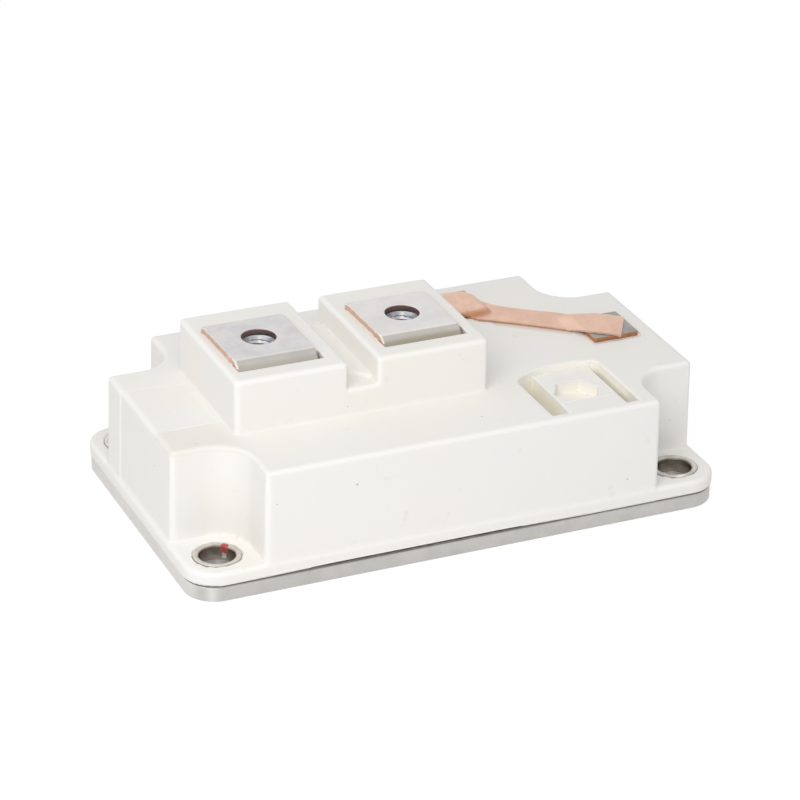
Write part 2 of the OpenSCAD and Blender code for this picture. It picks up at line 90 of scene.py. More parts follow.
lens = bpy.data.cameras.new("camera")
lens.lens = CAMERA_LENS
lens.sensor_width = 36.0
lens.clip_start = 0.01
camera = bpy.data.objects.new("camera", lens)
bpy.context.scene.collection.objects.link(camera)
camera.matrix_world = camera_pose(CAMERA_TURN, CAMERA_RISE, CAMERA_ROLL, CAMERA_AWAY,
                                  CAMERA_ACROSS, CAMERA_UP).T.tolist()
bpy.context.scene.camera = camera
bpy.context.scene.view_settings.view_transform = "Standard"
print("camera at", [round(c, 4) for c in camera.matrix_world.translation])

# %% [markdown]
# ## Shader maths as Python
# A material is a graph of nodes, and long graphs are hard to read as calls.  This class wraps
# one output socket, so `0.4 + 0.1 * grain` adds the Math nodes by itself.  Every other node
# comes from one method, which takes the node's type, its settings and its inputs.


# %% Shader expressions
def ahead(operation):
    """Method for self, then other."""
    return lambda self, other: self.math(operation, self, other)


def behind(operation):
    """Method for other, then self."""
    return lambda self, other: self.math(operation, other, self)


class Shade:
    """One output socket of a material's node tree, usable in arithmetic."""

    __add__, __radd__ = ahead("ADD"), behind("ADD")
    __sub__, __rsub__ = ahead("SUBTRACT"), behind("SUBTRACT")
    __mul__, __rmul__ = ahead("MULTIPLY"), behind("MULTIPLY")
    __pow__, at_most, at_least = ahead("POWER"), ahead("MINIMUM"), ahead("MAXIMUM")

    def __init__(self, tree, socket=None):
        self.tree = tree
        self.socket = socket

    def node(self, kind, settings=None, inputs=None, output=0):
        """A node of that kind: settings are set first, then inputs by name or number."""
        made = self.tree.nodes.new(kind)
        for name, value in (settings or {}).items():
            setattr(made, name, value)
        for name, value in (inputs or {}).items():
            if isinstance(value, Shade):
                self.tree.links.new(value.socket, made.inputs[name])
            else:
                made.inputs[name].default_value = value
        return Shade(self.tree, made.outputs[output])

    def math(self, operation, *values):
        return self.node("ShaderNodeMath", {"operation": operation}, dict(enumerate(values)))

    def __abs__(self):
        return self.math("ABSOLUTE", self)

    def step(self, low, high):
        """0 below low, 1 above high, and a smooth rise between; low may be the larger."""
        flip = low > high
        rise = self.node("ShaderNodeMapRange", {"interpolation_type": "SMOOTHSTEP"},
                         {"Value": self, "From Min": min(low, high), "From Max": max(low, high)})
        return 1.0 - rise if flip else rise


# %% Shared parts of materials
def material(name, roughness, metallic=0.0, coat=0.0):
    """A new node material with its constants on the shader; returns (material, maker, shader)."""
    made = bpy.data.materials.new(name)
    made.use_nodes = True
    shader = made.node_tree.nodes["Principled BSDF"]
    shader.inputs["Roughness"].default_value = roughness
    shader.inputs["Metallic"].default_value = metallic
    shader.inputs["Coat Weight"].default_value = coat
    return made, Shade(made.node_tree), shader


def feed(shader, **inputs):
    """Links expressions to the shader's inputs; an underscore stands for a space."""
    for name, value in inputs.items():
        value.tree.links.new(value.socket, shader.inputs[name.replace("_", " ")])


def place(make, stretch=(1.0, 1.0, 1.0), turn=(0.0, 0.0, 0.0)):
    """Object coordinates in metres, stretched and turned."""
    point = make.node("ShaderNodeTexCoord", output="Object")
    return make.node("ShaderNodeMapping", {}, {"Vector": point, "Scale": stretch, "Rotation": turn})


def axes_mm(make, point):
    """The three parts of a point, in millimetres."""
    return [make.node("ShaderNodeSeparateXYZ", {}, {0: point}, k) * 1000.0 for k in range(3)]


def mark(make, name):
    """Value of a mark that piece() keeps on the mesh."""
    return make.node("ShaderNodeAttribute", {"attribute_name": name}, {}, 2)


def ray(make, kind):
    """1 for rays of that kind, otherwise 0."""
    return make.node("ShaderNodeLightPath", output=kind)


def grain(make, point, size_mm, detail=3.0, roughness=0.5):
    """Noise from 0 to 1 whose blotches are about size_mm across."""
    return make.node("ShaderNodeTexNoise", {},
                     {"Vector": point, "Scale": 1.0 / (size_mm * MM), "Detail": detail,
                      "Roughness": roughness})


def blend(make, factor, first, second):
    """Colour from first to second as factor goes from 0 to 1."""
    first = (*first, 1.0) if isinstance(first, tuple) else first
    second = (*second, 1.0) if isinstance(second, tuple) else second
    return make.node("ShaderNodeMix", {"data_type": "RGBA"}, {0: factor, 6: first, 7: second}, 2)


def relief(make, height, depth_mm, strength=1.0, under=None):
    """Bump normal of a height from 0 to 1 that is depth_mm deep."""
    inputs = {"Height": height, "Distance": depth_mm * MM, "Strength": strength}
    if under is not None:
        inputs["Normal"] = under
    return make.node("ShaderNodeBump", {}, inputs)


def colour(red, green, blue):
    """Linear colour of display values from 0 to 255: the display curve is undone."""
    shown = np.array([red, green, blue]) / 255.0
    flat = np.where(shown <= 0.04045, shown / 12.92, ((shown + 0.055) / 1.055) ** 2.4)
    return tuple(float(value) for value in flat)


print("shader helpers ready")

# %% [markdown]
# ## Surfaces from distance fields
# A moulding has rounded outer edges, small fillets inside its corners and pockets that run into
# each other.  Bevels on a mesh with many cut-outs tear, so the housing and the metal pieces are
# described as distance fields instead: a number for every point, negative inside, in
# millimetres.  Two fields combine with a rounding of known radius, and the surface is where the
# result is zero.  The grid that samples the field is fine at the edges and coarse on the flats.


# %% Field arithmetic
def ramp(value, width):
    """0 below zero, 1 above width, straight between."""
    return np.clip(value / width, 0.0, 1.0)


def hump(value, middle, width):
    """Bell curve: 1 at the middle, nearly 0 two widths away."""
    return np.exp(-((value - middle) / width) ** 2)


def both(a, b, r=0.0):
    """Where two fields overlap.  The outer edge between them is rounded with radius r: near the
    edge the distance is that to an arc, elsewhere it is the larger of the two."""
    if r == 0.0:
        return np.maximum(a, b)
    arc = np.hypot(np.maximum(a + r, 0.0), np.maximum(b + r, 0.0))
    return np.minimum(np.maximum(a, b), -r) + arc


def either(a, b, r=0.0):
    """Where at least one field is; the inner corner between them gets a fillet of radius r."""
    return -both(-a, -b, r)


def without(a, b, r=0.0):
    """Field a with b cut away; the rim of the cut is rounded with radius r."""
    return both(a, -b, r)


def oblong(x, y, middle, size, r=0.0):
    """Distance to a rectangle in plan with corners of radius r."""
    u = np.abs(x - middle[0]) - size[0] / 2 + r
    v = np.abs(y - middle[1]) - size[1] / 2 + r
    return np.hypot(np.maximum(u, 0.0), np.maximum(v, 0.0)) + np.minimum(np.maximum(u, v), 0.0) - r


def disc(x, y, middle, r):
    """Distance to a circle in plan."""
    return np.hypot(x - middle[0], y - middle[1]) - r


def hexagon(x, y, middle, across):
    """Distance to a hexagon in plan, with two corners on the X axis: the largest of the
    distances to its three pairs of flats."""
    u, v = np.abs(x - middle[0]), np.abs(y - middle[1])
    return np.maximum(v, u * np.cos(np.pi / 6) + v * np.sin(np.pi / 6)) - across / 2


def slab(value, low, high):
    """Distance to the layer between two levels."""
    return np.abs(value - (low + high) / 2) - (high - low) / 2


# %% Grid and skin
def graded(low, high, coarse, marks, fine, growth):
    """Grid lines from low to high, fine apart at each mark and further apart away from it, up to
    coarse: whole steps of the running integral of one over the spacing."""
    line = np.linspace(low, high, 6001)
    away = np.abs(line[:, None] - np.array(marks)[None, :]).min(axis=1)
    spacing = np.minimum(coarse, fine + growth * away)
    count = np.concatenate([[0.0], np.cumsum(np.diff(line) / spacing[1:])])
    return np.interp(np.linspace(0.0, count[-1], int(np.ceil(count[-1])) + 1), count, line)


def skin(field, xs, ys, zs, settle=4):
    """Surface where field(x, y, z) is zero, as (points, normals, quads) in millimetres.

    Every grid cell with corners on both sides holds one point, first at the mean of the
    crossings on its edges, then moved along the field's slope onto the surface.  Every grid edge
    with ends on both sides makes one quad from the four cells round it.  The slope also gives
    the exact normal."""
    lines = (xs, ys, zs)
    shape = tuple(len(line) for line in lines)
    value = np.broadcast_to(field(xs[:, None, None], ys[None, :, None], zs[None, None, :]), shape)
    inside = value < 0.0
    cells = tuple(n - 1 for n in shape)
    total = np.zeros((3, int(np.prod(cells))))
    crossings = np.zeros(int(np.prod(cells)))
    corner_sets = []
    for axis in range(3):
        u, v = (axis + 1) % 3, (axis + 2) % 3
        low = tuple(slice(0, -1) if k == axis else slice(None) for k in range(3))
        high = tuple(slice(1, None) if k == axis else slice(None) for k in range(3))
        index = np.array(np.nonzero(inside[low] != inside[high]))
        ok = (index[u] > 0) & (index[v] > 0) & (index[u] < cells[u]) & (index[v] < cells[v])
        index = index[:, ok]
        a, b = value[low][tuple(index)], value[high][tuple(index)]
        point = np.array([lines[k][index[k]] for k in range(3)])
        point[axis] += a / (a - b) * np.diff(lines[axis])[index[axis]]
        corners = []
        for du, dv in ((1, 1), (0, 1), (0, 0), (1, 0)):
            cell = index.copy()
            cell[u] -= du
            cell[v] -= dv
            flat = np.ravel_multi_index(tuple(cell), cells)
            crossings += np.bincount(flat, minlength=crossings.size)
            for k in range(3):
                total[k] += np.bincount(flat, point[k], minlength=crossings.size)
            corners.append(flat)
        corners = np.array(corners).T
        corners[a > 0.0] = corners[a > 0.0][:, ::-1]
        corner_sets.append(corners)
    quads = np.concatenate(corner_sets)
    used, quads = np.unique(quads, return_inverse=True)
    quads = quads.reshape(-1, 4)
    points = (total[:, used] / crossings[used]).T
    cell = np.array(np.unravel_index(used, cells))
    floor_of = np.array([lines[k][cell[k]] for k in range(3)]).T
    roof_of = np.array([lines[k][cell[k] + 1] for k in range(3)]).T
    for _ in range(settle):
        slope = slope_of(field, points)
        step = field(*points.T)[:, None] * slope / np.maximum((slope ** 2).sum(1), 1e-6)[:, None]
        points = np.clip(points - step, floor_of, roof_of)
    slope = slope_of(field, points)
    return points, slope / np.maximum(np.linalg.norm(slope, axis=1), 1e-9)[:, None], quads


def slope_of(field, points, reach=0.004):
    """The field's slope at each point, from the difference of its values either side."""
    columns = []
    for k in range(3):
        offset = np.zeros(3)
        offset[k] = reach
        columns.append((field(*(points + offset).T) - field(*(points - offset).T)) / (2 * reach))
    return np.array(columns).T


def bending(field, points, reach=0.25):
    """Sum of the field's second slopes: above zero on outer edges, below in inner corners."""
    total = -6.0 * field(*points.T)
    for offset in reach * np.eye(3):
        total += field(*(points + offset).T) + field(*(points - offset).T)
    return total / reach ** 2


# %% From arrays to a piece
def piece(name, points, faces, finish, stands_for=(), normals=None, marks=None):
    """A mesh object on the root body, from arrays in millimetres.  marks are values per point,
    kept as attributes that a material can read."""
    mesh = bpy.data.meshes.new(name)
    mesh.from_pydata((np.asarray(points) * MM).tolist(), [], np.asarray(faces).tolist())
    mesh.polygons.foreach_set("use_smooth", np.full(len(mesh.polygons), True))
    for label, values in (marks or {}).items():
        layer = mesh.attributes.new(label, "FLOAT", "POINT")
        layer.data.foreach_set("value", np.asarray(values, dtype=np.float32))
    if normals is not None:
        mesh.normals_split_custom_set_from_vertices(np.asarray(normals).tolist())
    mesh.materials.append(finish)
    made = bpy.data.objects.new(name, mesh)
    bpy.context.scene.collection.objects.link(made)
    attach(made, "root")
    if stands_for:
        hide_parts(*stands_for)
    print(f"{name}: {len(points)} points, {len(faces)} faces")
    return made


def lathe(profile, middle, around):
    """Surface of a closed outline turned about an upright axis.  profile is (radius, height)
    pairs anticlockwise as seen with the axis on the left; returns (points, quads)."""
    ring = np.asarray(profile, dtype=float)
    turn = np.linspace(0.0, 2 * np.pi, around, endpoint=False)
    x = middle[0] + ring[None, :, 0] * np.cos(turn)[:, None]
    y = middle[1] + ring[None, :, 0] * np.sin(turn)[:, None]
    z = np.broadcast_to(middle[2] + ring[None, :, 1], x.shape)
    count = len(ring)
    i, j = np.meshgrid(np.arange(around), np.arange(count), indexing="ij")
    i_next, j_next = (i + 1) % around, (j + 1) % count
    quads = np.stack([(a * count + b).ravel() for a, b in ((i, j), (i_next, j), (i_next, j_next),
                                                           (i, j_next))], axis=1)
    return np.stack([x, y, z], axis=-1).reshape(-1, 3), quads


def polar(points, middle):
    """Distance and angle of each point in plan, seen from the middle."""
    u, v = points[:, 0] - middle[0], points[:, 1] - middle[1]
    return np.hypot(u, v), np.arctan2(v, u)


def rounded_outline(corners, r, steps=5):
    """Closed outline with every corner rounded: a short curve between the points r before and
    r after it, bent towards the corner."""
    pts = np.asarray(corners, dtype=float)
    before, after = np.roll(pts, 1, axis=0), np.roll(pts, -1, axis=0)
    start = pts + (before - pts) / np.linalg.norm(before - pts, axis=1)[:, None] * r
    end = pts + (after - pts) / np.linalg.norm(after - pts, axis=1)[:, None] * r
    t = np.linspace(0.0, 1.0, steps)[None, :, None]
    arcs = start[:, None] * (1 - t) ** 2 + 2 * pts[:, None] * t * (1 - t) + end[:, None] * t ** 2
    return arcs.reshape(-1, 2)


def box_mesh(x, y, z):
    """The eight corners and six faces of a box, from its two ends in each direction."""
    ends = np.array([x, y, z], dtype=float).T
    pick = np.array([[i, j, k] for i in (0, 1) for j in (0, 1) for k in (0, 1)])
    corners = ends[pick, np.arange(3)]
    return corners, np.array([(0, 1, 3, 2), (4, 6, 7, 5), (0, 4, 5, 1), (2, 3, 7, 6), (0, 2, 6, 4),
                              (1, 5, 7, 3)])


def joined(*parts):
    """Several (points, faces) pairs as one pair."""
    shift = np.cumsum([0] + [len(points) for points, _ in parts[:-1]])
    return (np.concatenate([points for points, _ in parts]),
            np.concatenate([faces + k for (_, faces), k in zip(parts, shift)]))


def span(node):
    """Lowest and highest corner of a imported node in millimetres."""
    return [np.array(corner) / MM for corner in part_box(node)]


print("mesh helpers ready")

# %% [markdown]
# ## Ivory moulded plastic
# The housing is a glass filled polyester or polyamide: warm white, matt, with a fine spark
# eroded texture, faint cloudy flow of the filler and a few specks of dust.  Noise at three
# scales gives the clouds, the texture and the specks.  Marks on the mesh add painted light:
# painted highlights on outer edges and on the mould lines, painted shade in inner corners,
# painted warm bounce light in the recesses and a painted copper reflection by the strap.

# %% Ivory plastic
IVORY = colour(246, 244, 240)
IVORY_WARM = colour(245, 241, 232)
IVORY_COOL = colour(242, 242, 241)
DIRT = colour(118, 104, 86)
SPECKS = ((-33.0, -30.4, 14.0, 0.1), (-17.3, -14.7, 26.0, 0.1), (-52.5, 12.3, 21.0, 0.15),
          (-50.2, -9.4, 24.0, 0.1), (-47.0, -14.9, 24.0, 0.18), (-22.0, -30.4, 18.6, 0.2),
          (-37.5, -30.4, 17.6, 0.12), (-52.6, -8.6, 17.5, 0.12), (5.5, -24.0, 24.1, 0.12),
          (8.0, 24.5, 24.1, 0.25), (33.0, -30.4, 9.0, 0.25))
# Lines on the deck, the left end and the block walls, as (face, start, stop, level, width): the mould's
# witness ridges, given a little relief and a painted highlight.  The deck line at y -24.25 is only a painted
# highlight along the rim of the empty station's front strip.
LINES_WITH_PAINTED_HIGHLIGHT = (("deck", (-49.9, -8.4), (-40.2, -8.4), 1.0, 0.3), ("deck", (-50.9, 9.6), (-40.2, 8.4), 0.7, 0.3),
         ("deck", (21.5, -24.25), (33.0, -24.25), 1.0, 0.45), ("left", (9.9, 23.4), (9.8, 17.6), 0.4, 0.17),
         ("left", (9.6, 17.2), (3.4, 13.4), 0.5, 0.17), ("left", (0.5, 8.3), (0.3, 6.2), 1.0, 0.3),
         ("walls", (8.2, 25.0), (8.2, 34.0), 0.8, 0.17))


def bead_line(x, y, start, stop, level, width):
    """Mark of a thin line on a flat: 1 on the line from start to stop, 0 elsewhere."""
    (x0, y0), (x1, y1) = start, stop
    length = float(np.hypot(x1 - x0, y1 - y0))
    u, v = (x1 - x0) / length, (y1 - y0) / length
    along = (x - x0) * u + (y - y0) * v
    off = abs((x - x0) * -v + (y - y0) * u)
    ends = along.step(-0.2, 0.2) * along.step(length + 0.2, length - 0.2)
    return off.step(width, 0.15 * width) * ends * level


def ivory_plastic():
    made, make, shader = material("ivory_plastic", 0.5)
    point = place(make)
    x, y, z = axes_mm(make, point)
    cloud = grain(make, point, 26.0, 3.0, 0.45)
    streak = grain(make, place(make, (0.35, 1.0, 1.0)), 7.0, 4.0, 0.5)
    tone = blend(make, cloud.step(0.35, 0.68), IVORY_WARM, IVORY_COOL)
    tone = blend(make, 0.5 + 0.3 * streak, tone, IVORY)
    # Painted warm bounce light: the walls and floors of the recesses are tinted lighter and warmer.
    tone = blend(make, mark(make, "painted_light_amount"), tone,
                 colour(252, 248, 237))
    # Painted light from the edge mark: outer edges are lightened as a painted highlight and inner corners
    # are darkened as painted shade.
    edge = mark(make, "edge")
    tone = blend(make, 0.36 * edge.at_least(0.0), tone, colour(255, 254, 251))
    tone = blend(make, 0.25 * (0.0 - edge).at_least(0.0), tone, colour(214, 206, 192))
    spots = 0.0 * x
    for sx, sy, sz, size in SPECKS:
        away = ((x - sx) * (x - sx) + (y - sy) * (y - sy) + (z - sz) * (z - sz)) ** 0.5
        wobble = away + 0.25 * grain(make, point, 0.5, 2.0)
        spots = spots.at_least(wobble.step(size + 0.25, size))
    dust = make.node("ShaderNodeTexVoronoi", {"feature": "F1"},
                     {"Vector": point, "Scale": 1.0 / (6.5 * MM), "Randomness": 1.0})
    fine = dust.step(0.022, 0.012) * grain(make, point, 17.0, 1.0).step(0.52, 0.6)
    smudge = grain(make, point, 3.5, 5.0, 0.65).step(0.62, 0.76)
    tone = blend(make, (0.6 * spots).at_least(0.45 * fine), tone, DIRT)
    tone = blend(make, 0.10 * smudge, tone, DIRT)
    deck = z.step(22.9, 23.4) * z.step(24.6, 24.3)
    zone = x.step(-37.0, -42.0) * y.step(-8.4, -8.9) * deck
    tone = blend(make, 0.35 * zone, tone, colour(226, 223, 208))
    walls = (abs(x + 39.3).step(0.5, 0.2)).at_least(abs(x + 11.3).step(0.5, 0.2))
    faces = {"deck": (x, y, deck), "left": (y, z, x.step(-51.9, -52.2)), "walls": (y, z, walls)}
    lines = 0.0 * x
    for face, start, stop, level, width in LINES_WITH_PAINTED_HIGHLIGHT:
        u, v, there = faces[face]
        lines = lines.at_least(bead_line(u, v, start, stop, level, width) * there)
    # Painted reflection and shadow: a reddish band on the deck along the strap's front edge stands for light
    # bounced off the copper foil and the shade under its edge.
    painted_copper_reflection = bead_line(x, y, (24.6, 11.4), (37.0, 1.9), 1.0, 1.5) * deck
    tone = blend(make, 0.35 * painted_copper_reflection, tone, colour(206, 150, 132))
    texture = grain(make, point, 0.16, 2.0, 0.6)
    waves = grain(make, point, 5.0, 2.0, 0.4)
    base = relief(make, texture, 0.012, 0.5, relief(make, waves, 0.03, 0.35))
    # The lines get a painted highlight on top of their bump relief.
    feed(shader, Base_Color=blend(make, 0.75 * lines, tone, colour(255, 253, 248)),
         Roughness=0.46 + 0.1 * cloud, Normal=relief(make, lines, 0.02, 1.0, base))
    shader.inputs["IOR"].default_value = 1.5
    return made


ivory = ivory_plastic()
print("made", ivory.name)

# %% [markdown]
# ## Housing
# The real moulding is one shell: a flange over the base plate, a tall body with four corner
# recesses for the screws, a terminal block with a groove across it, and sunk stations for the
# small terminals.  It could be boxes with bevels, but the recesses, fillets and pockets meet in
# too many corners for that.  As a distance field each feature is one line.

# %% Housing sizes, in millimetres
flange_low, flange_high = span("housing_flange")
body_low, body_high = span("housing")
block_low, block_high = span("terminal_block")
holes = frame["record"]["mounts"][1]["dims"]
HOLE_X, HOLE_Y = holes["spacing_x_mm"] / 2, holes["spacing_y_mm"] / 2
FLANGE = 2 * flange_high[:2]
FLANGE_CORNER = 6.2
SEAM_Z = flange_low[2]
FLANGE_Z = flange_high[2]
DRAFT = 0.02
FRONT_GAP = 0.28
DECK_Z = body_high[2]
BODY = 2 * (body_high[:2] - 0.1)
WALL = 2.4
CAVITY_Z = DECK_Z - 2.6
RECESS_R = 7.1
SLEEVE_R = 4.47
BLOCK_MID = (block_low[:2] + block_high[:2]) / 2
BLOCK = (block_high - block_low)[:2]
BLOCK_Z = block_high[2]
GROOVE_X = block_low[0] + 25.05
GROOVE_W = 6.0
GROOVE_Z = BLOCK_Z - 5.3
GROOVE_PAD = 0.6
EDGE = 0.8
BLOCK_ROOT_Z = 20.0
left_low, left_high = span("emitter_terminal")
right_low, right_high = span("collector_terminal")
TERMINAL_W = 15.8
nut_low, nut_high = span("main_nut_left")
TERMINAL_Y = (nut_low[1] + nut_high[1]) / 2
TERMINAL_X = (left_low[0] + TERMINAL_W / 2, sum(corner[0] for corner in span("main_nut_right")) / 2)
TERMINAL_TOP = left_high[2]
TERMINAL_T = TERMINAL_TOP - BLOCK_Z
TERMINAL_BACK = right_high[1]
TERMINAL_HOLE_R = 3.25
BEND_R = 3.2
LEG_Y = left_low[1]
LEG_PLAY = 0.2
SIDE_PLAY = (0.02, 0.8)
NUT_ACROSS = 10.0
NUT_WELL_R, NUT_WELL_Z = 3.5, 24.5
gate_low, gate_high = span("gate_terminal")
sense_low, sense_high = span("sense_terminal")
SMALL_T = 1.0
SMALL_TOP = gate_high[2]
SEAT_Z = SMALL_TOP - SMALL_T
SMALL_PLATE = (gate_high - gate_low)[:2]
SMALL_LEG_W = 5.0
SMALL_POCKET, SMALL_POCKET_Z = 8.1, 20.6
SMALL_WELL_R, SMALL_WELL_Z = 2.3, 18.4
STATIONS = ((gate_low + gate_high)[:2] / 2, (sense_low + sense_high)[:2] / 2)
PLATFORM_Z = DECK_Z - 1.4
SLOT_FLOOR = 16.5
STRIP_OVER = (1.3, 1.4)
TUB_WALL = 1.4
BOSS_R = 5.6
EMPTY_X = body_high[0] - np.array([34.75, 30.1, 18.05, 16.85])
EMPTY_Y = body_low[1] + np.array([2.05, 6.45, 21.45])
EMPTY_NUT = (EMPTY_X[1] + 5.35, EMPTY_Y[1] + 5.8)
EMPTY_NUT_ACROSS, EMPTY_NUT_Z = 7.7, 20.3
EMPTY_BOW, EMPTY_BOW_R = (EMPTY_X[1] + 6.25, EMPTY_Y[0] + 1.2), 18.0
print("body", BODY, "block", BLOCK, "terminal top", TERMINAL_TOP, "leg", LEG_Y)


# %% Housing field
def body_plan(x, y):
    """Plan of the tall body: a rectangle less everything nearer than the recess radius to the
    quadrant beyond each screw hole."""
    near_right = (np.asarray(x) > 0) & (np.asarray(y) < 0)
    u, v = HOLE_X - np.abs(x), HOLE_Y + 0.8 * near_right - np.abs(y)
    quadrant = np.hypot(np.maximum(u, 0.0), np.maximum(v, 0.0)) + np.minimum(np.maximum(u, v), 0.0)
    thick = 0.14 * ((x < 0) * ramp(y - 9.7, 0.3))
    return without(oblong(np.abs(x) - thick, y, (0.0, 0.0), BODY, 0.9), quadrant - RECESS_R, 0.8)


def terminal_room(x, y, z, middle):
    """Space for a main terminal: slot for the leg, room behind the bend, nut pocket and well."""
    across = slab(x, middle - TERMINAL_W / 2 - SIDE_PLAY[0], middle + TERMINAL_W / 2 + SIDE_PLAY[1])
    slot = both(across, slab(y, LEG_Y - LEG_PLAY, LEG_Y + TERMINAL_T + LEG_PLAY), 0.2)
    room = both(both(across, slab(y, LEG_Y - LEG_PLAY, LEG_Y + BEND_R), 0.2), BLOCK_Z - BEND_R - z, 0.2)
    pocket = both(hexagon(x, y, (middle, TERMINAL_Y), NUT_ACROSS + 0.2), nut_low[2] - z, 0.1)
    well = both(disc(x, y, (middle, TERMINAL_Y), NUT_WELL_R), NUT_WELL_Z - z, 0.4)
    return np.minimum(np.minimum(slot, room), np.minimum(pocket, well))


def leg_middle(middle):
    """Middle in plan of a small terminal's leg, under the plate's rear edge."""
    return middle[0], middle[1] + SMALL_PLATE[1] / 2 - SMALL_T / 2


def station_room(x, y, z, middle):
    """Shallow seat, nut pocket, well and leg slot of a fitted small terminal."""
    seat = both(oblong(x, y, middle, SMALL_PLATE + 1.2, 0.8), SEAT_Z - z)
    pocket = both(hexagon(x, y, middle, SMALL_POCKET), SMALL_POCKET_Z - z)
    well = both(disc(x, y, middle, SMALL_WELL_R), SMALL_WELL_Z - z)
    leg = oblong(x, y, leg_middle(middle), (SMALL_LEG_W + 0.4, SMALL_T + 0.4), 0.1)
    return np.minimum(np.minimum(seat, pocket), np.minimum(well, leg))


def empty_outline(x, y, front):
    """Outline of the empty station from y = front back: straight sides and a bowed rear wall."""
    plan = oblong(x, y, ((EMPTY_X[0] + EMPTY_X[3]) / 2, (front + EMPTY_Y[2]) / 2),
                  (EMPTY_X[3] - EMPTY_X[0], EMPTY_Y[2] - front), 0.3)
    return both(plan, disc(x, y, EMPTY_BOW, EMPTY_BOW_R), 1.0)


def slot_plans(x, y):
    """Plans of the two deep slots beside the empty station's platform and its front strip."""
    whole = empty_outline(x, y, EMPTY_Y[0])
    strip = np.clip((EMPTY_Y[1] - y) / 0.4 + 0.5, 0.0, 1.0)
    left_edge = EMPTY_X[1] - STRIP_OVER[0] * strip
    right_edge = EMPTY_X[2] - STRIP_OVER[1] * strip
    return both(whole, x - left_edge, 0.2), both(whole, right_edge - x, 0.2)


def empty_room(x, y, z):
    """Empty station: platform under the deck, the two deep slots and a nut pocket."""
    platform = both(empty_outline(x, y, EMPTY_Y[1]), PLATFORM_Z - z, 0.2)
    left, right = slot_plans(x, y)
    slots = both(np.minimum(left, right), SLOT_FLOOR - z)
    pocket = both(hexagon(x, y, EMPTY_NUT, EMPTY_NUT_ACROSS), EMPTY_NUT_Z - z, 0.2)
    return either(either(platform, slots, 0.15), pocket, 0.15)


def terminal_block(x, y, z):
    """Block with a groove across it; the groove's floor steps up behind a slanting line."""
    block = both(oblong(x, y, BLOCK_MID, BLOCK, 1.1), z - BLOCK_Z, EDGE)
    rise = np.clip(((x - GROOVE_X) * 0.75 + (y + 8.5) * 0.66) / 0.5 + 0.5, 0.0, 1.0)
    back = np.clip(12.9 - y, 0.0, 1.0)
    floor = GROOVE_Z + GROOVE_PAD * rise ** 2 * (3 - 2 * rise) * back
    groove = both(np.abs(x - GROOVE_X) - GROOVE_W / 2, floor - z, 0.35)
    return np.maximum(without(block, groove, 0.75), BLOCK_ROOT_Z - z)


def inner_rooms(x, y, z):
    """Hollow under the deck and inside the block, round the bosses and the slots' tubs."""
    hollow = both(body_plan(x, y) + WALL, z - CAVITY_Z, 0.4)
    left, right = slot_plans(x, y)
    tubs = both(np.minimum(left, right) - TUB_WALL, SLOT_FLOOR - TUB_WALL - z)
    hollow = without(hollow, tubs)
    for middle in (*STATIONS, EMPTY_NUT):
        hollow = without(hollow, both(disc(x, y, middle, BOSS_R), SLOT_FLOOR - z))
    inner = oblong(x, y, BLOCK_MID, (BLOCK[0] - 2 * WALL, BLOCK[1] - 2 * WALL), 0.3)
    roof = np.where(np.abs(x - GROOVE_X) < GROOVE_W / 2 + WALL, GROOVE_Z, BLOCK_Z) - WALL
    core = np.maximum(both(inner, z - roof), BLOCK_ROOT_Z - z)
    for middle in TERMINAL_X:
        front = both(slab(x, middle - 9.9, middle + 9.9), y - TERMINAL_Y)
        core = without(core, np.minimum(disc(x, y, (middle, TERMINAL_Y), 8.4), front))
    return np.minimum(hollow, core)


def housing_field(x, y, z):
    """The whole housing: body with fillets to flange and block, less every room in it."""
    body = both(body_plan(x, y) - DRAFT * (DECK_Z - z), z - DECK_Z, EDGE)
    flange = both(oblong(x, y, (0.0, 0.0), FLANGE, FLANGE_CORNER), z - FLANGE_Z, EDGE)
    solid = either(either(body, flange, 0.45), terminal_block(x, y, z), 0.4)
    solid = without(solid, disc(np.abs(x), np.abs(y), (HOLE_X, HOLE_Y), SLEEVE_R), 0.1)
    for middle in TERMINAL_X:
        solid = without(solid, terminal_room(x, y, z, middle), 0.2)
    for middle in STATIONS:
        solid = without(solid, station_room(x, y, z, middle), 0.12)
    solid = without(solid, empty_room(x, y, z), 0.3)
    solid = np.maximum(solid, -inner_rooms(x, y, z))
    gap = FRONT_GAP * (y < 0) * ramp(36.0 - np.abs(x + 10.0), 20.0)
    return both(solid, SEAM_Z + gap - z, 0.15)


# %% Housing mesh
MARKS_X = (-39.3, -37.2, -21.0, -17.25, -11.25, -8.3, 8.4, 11.1, 14.5, 17.9, 22.5, 24.0, 26.0, 26.1, 27.9,
           29.8, 31.8, 33.3, 34.6, 35.8, 38.0, 49.6)
MARKS_Y = (-28.4, -24.1, -22.0, -20.1, -18.2, -16.3, -14.7, -14.4, -10.6, -9.5, -4.5, 7.5, 9.8, 14.7,
           15.0, 27.0)
wide = [side * edge for side in (-1, 1) for edge in (53.4, 52.5, HOLE_X - RECESS_R)]
deep = [side * edge for side in (-1, 1) for edge in (30.9, 30.3, HOLE_Y - RECESS_R)]
xs = graded(-54.0, 54.0, 1.5, wide + list(MARKS_X), 0.2, 0.5)
ys = graded(-31.5, 31.5, 1.5, deep + list(MARKS_Y), 0.2, 0.5)
zs = graded(2.6, 35.4, 2.2, [3.3, 5.5, 21.5, 24.0, 29.5, 34.5], 0.18, 0.55)
points, normals, quads = skin(housing_field, xs, ys, zs)
points[:, :2] = np.clip(points[:, :2], -FLANGE / 2, FLANGE / 2)
px, py, pz = points.T
left_slot, right_slot = slot_plans(px, py)
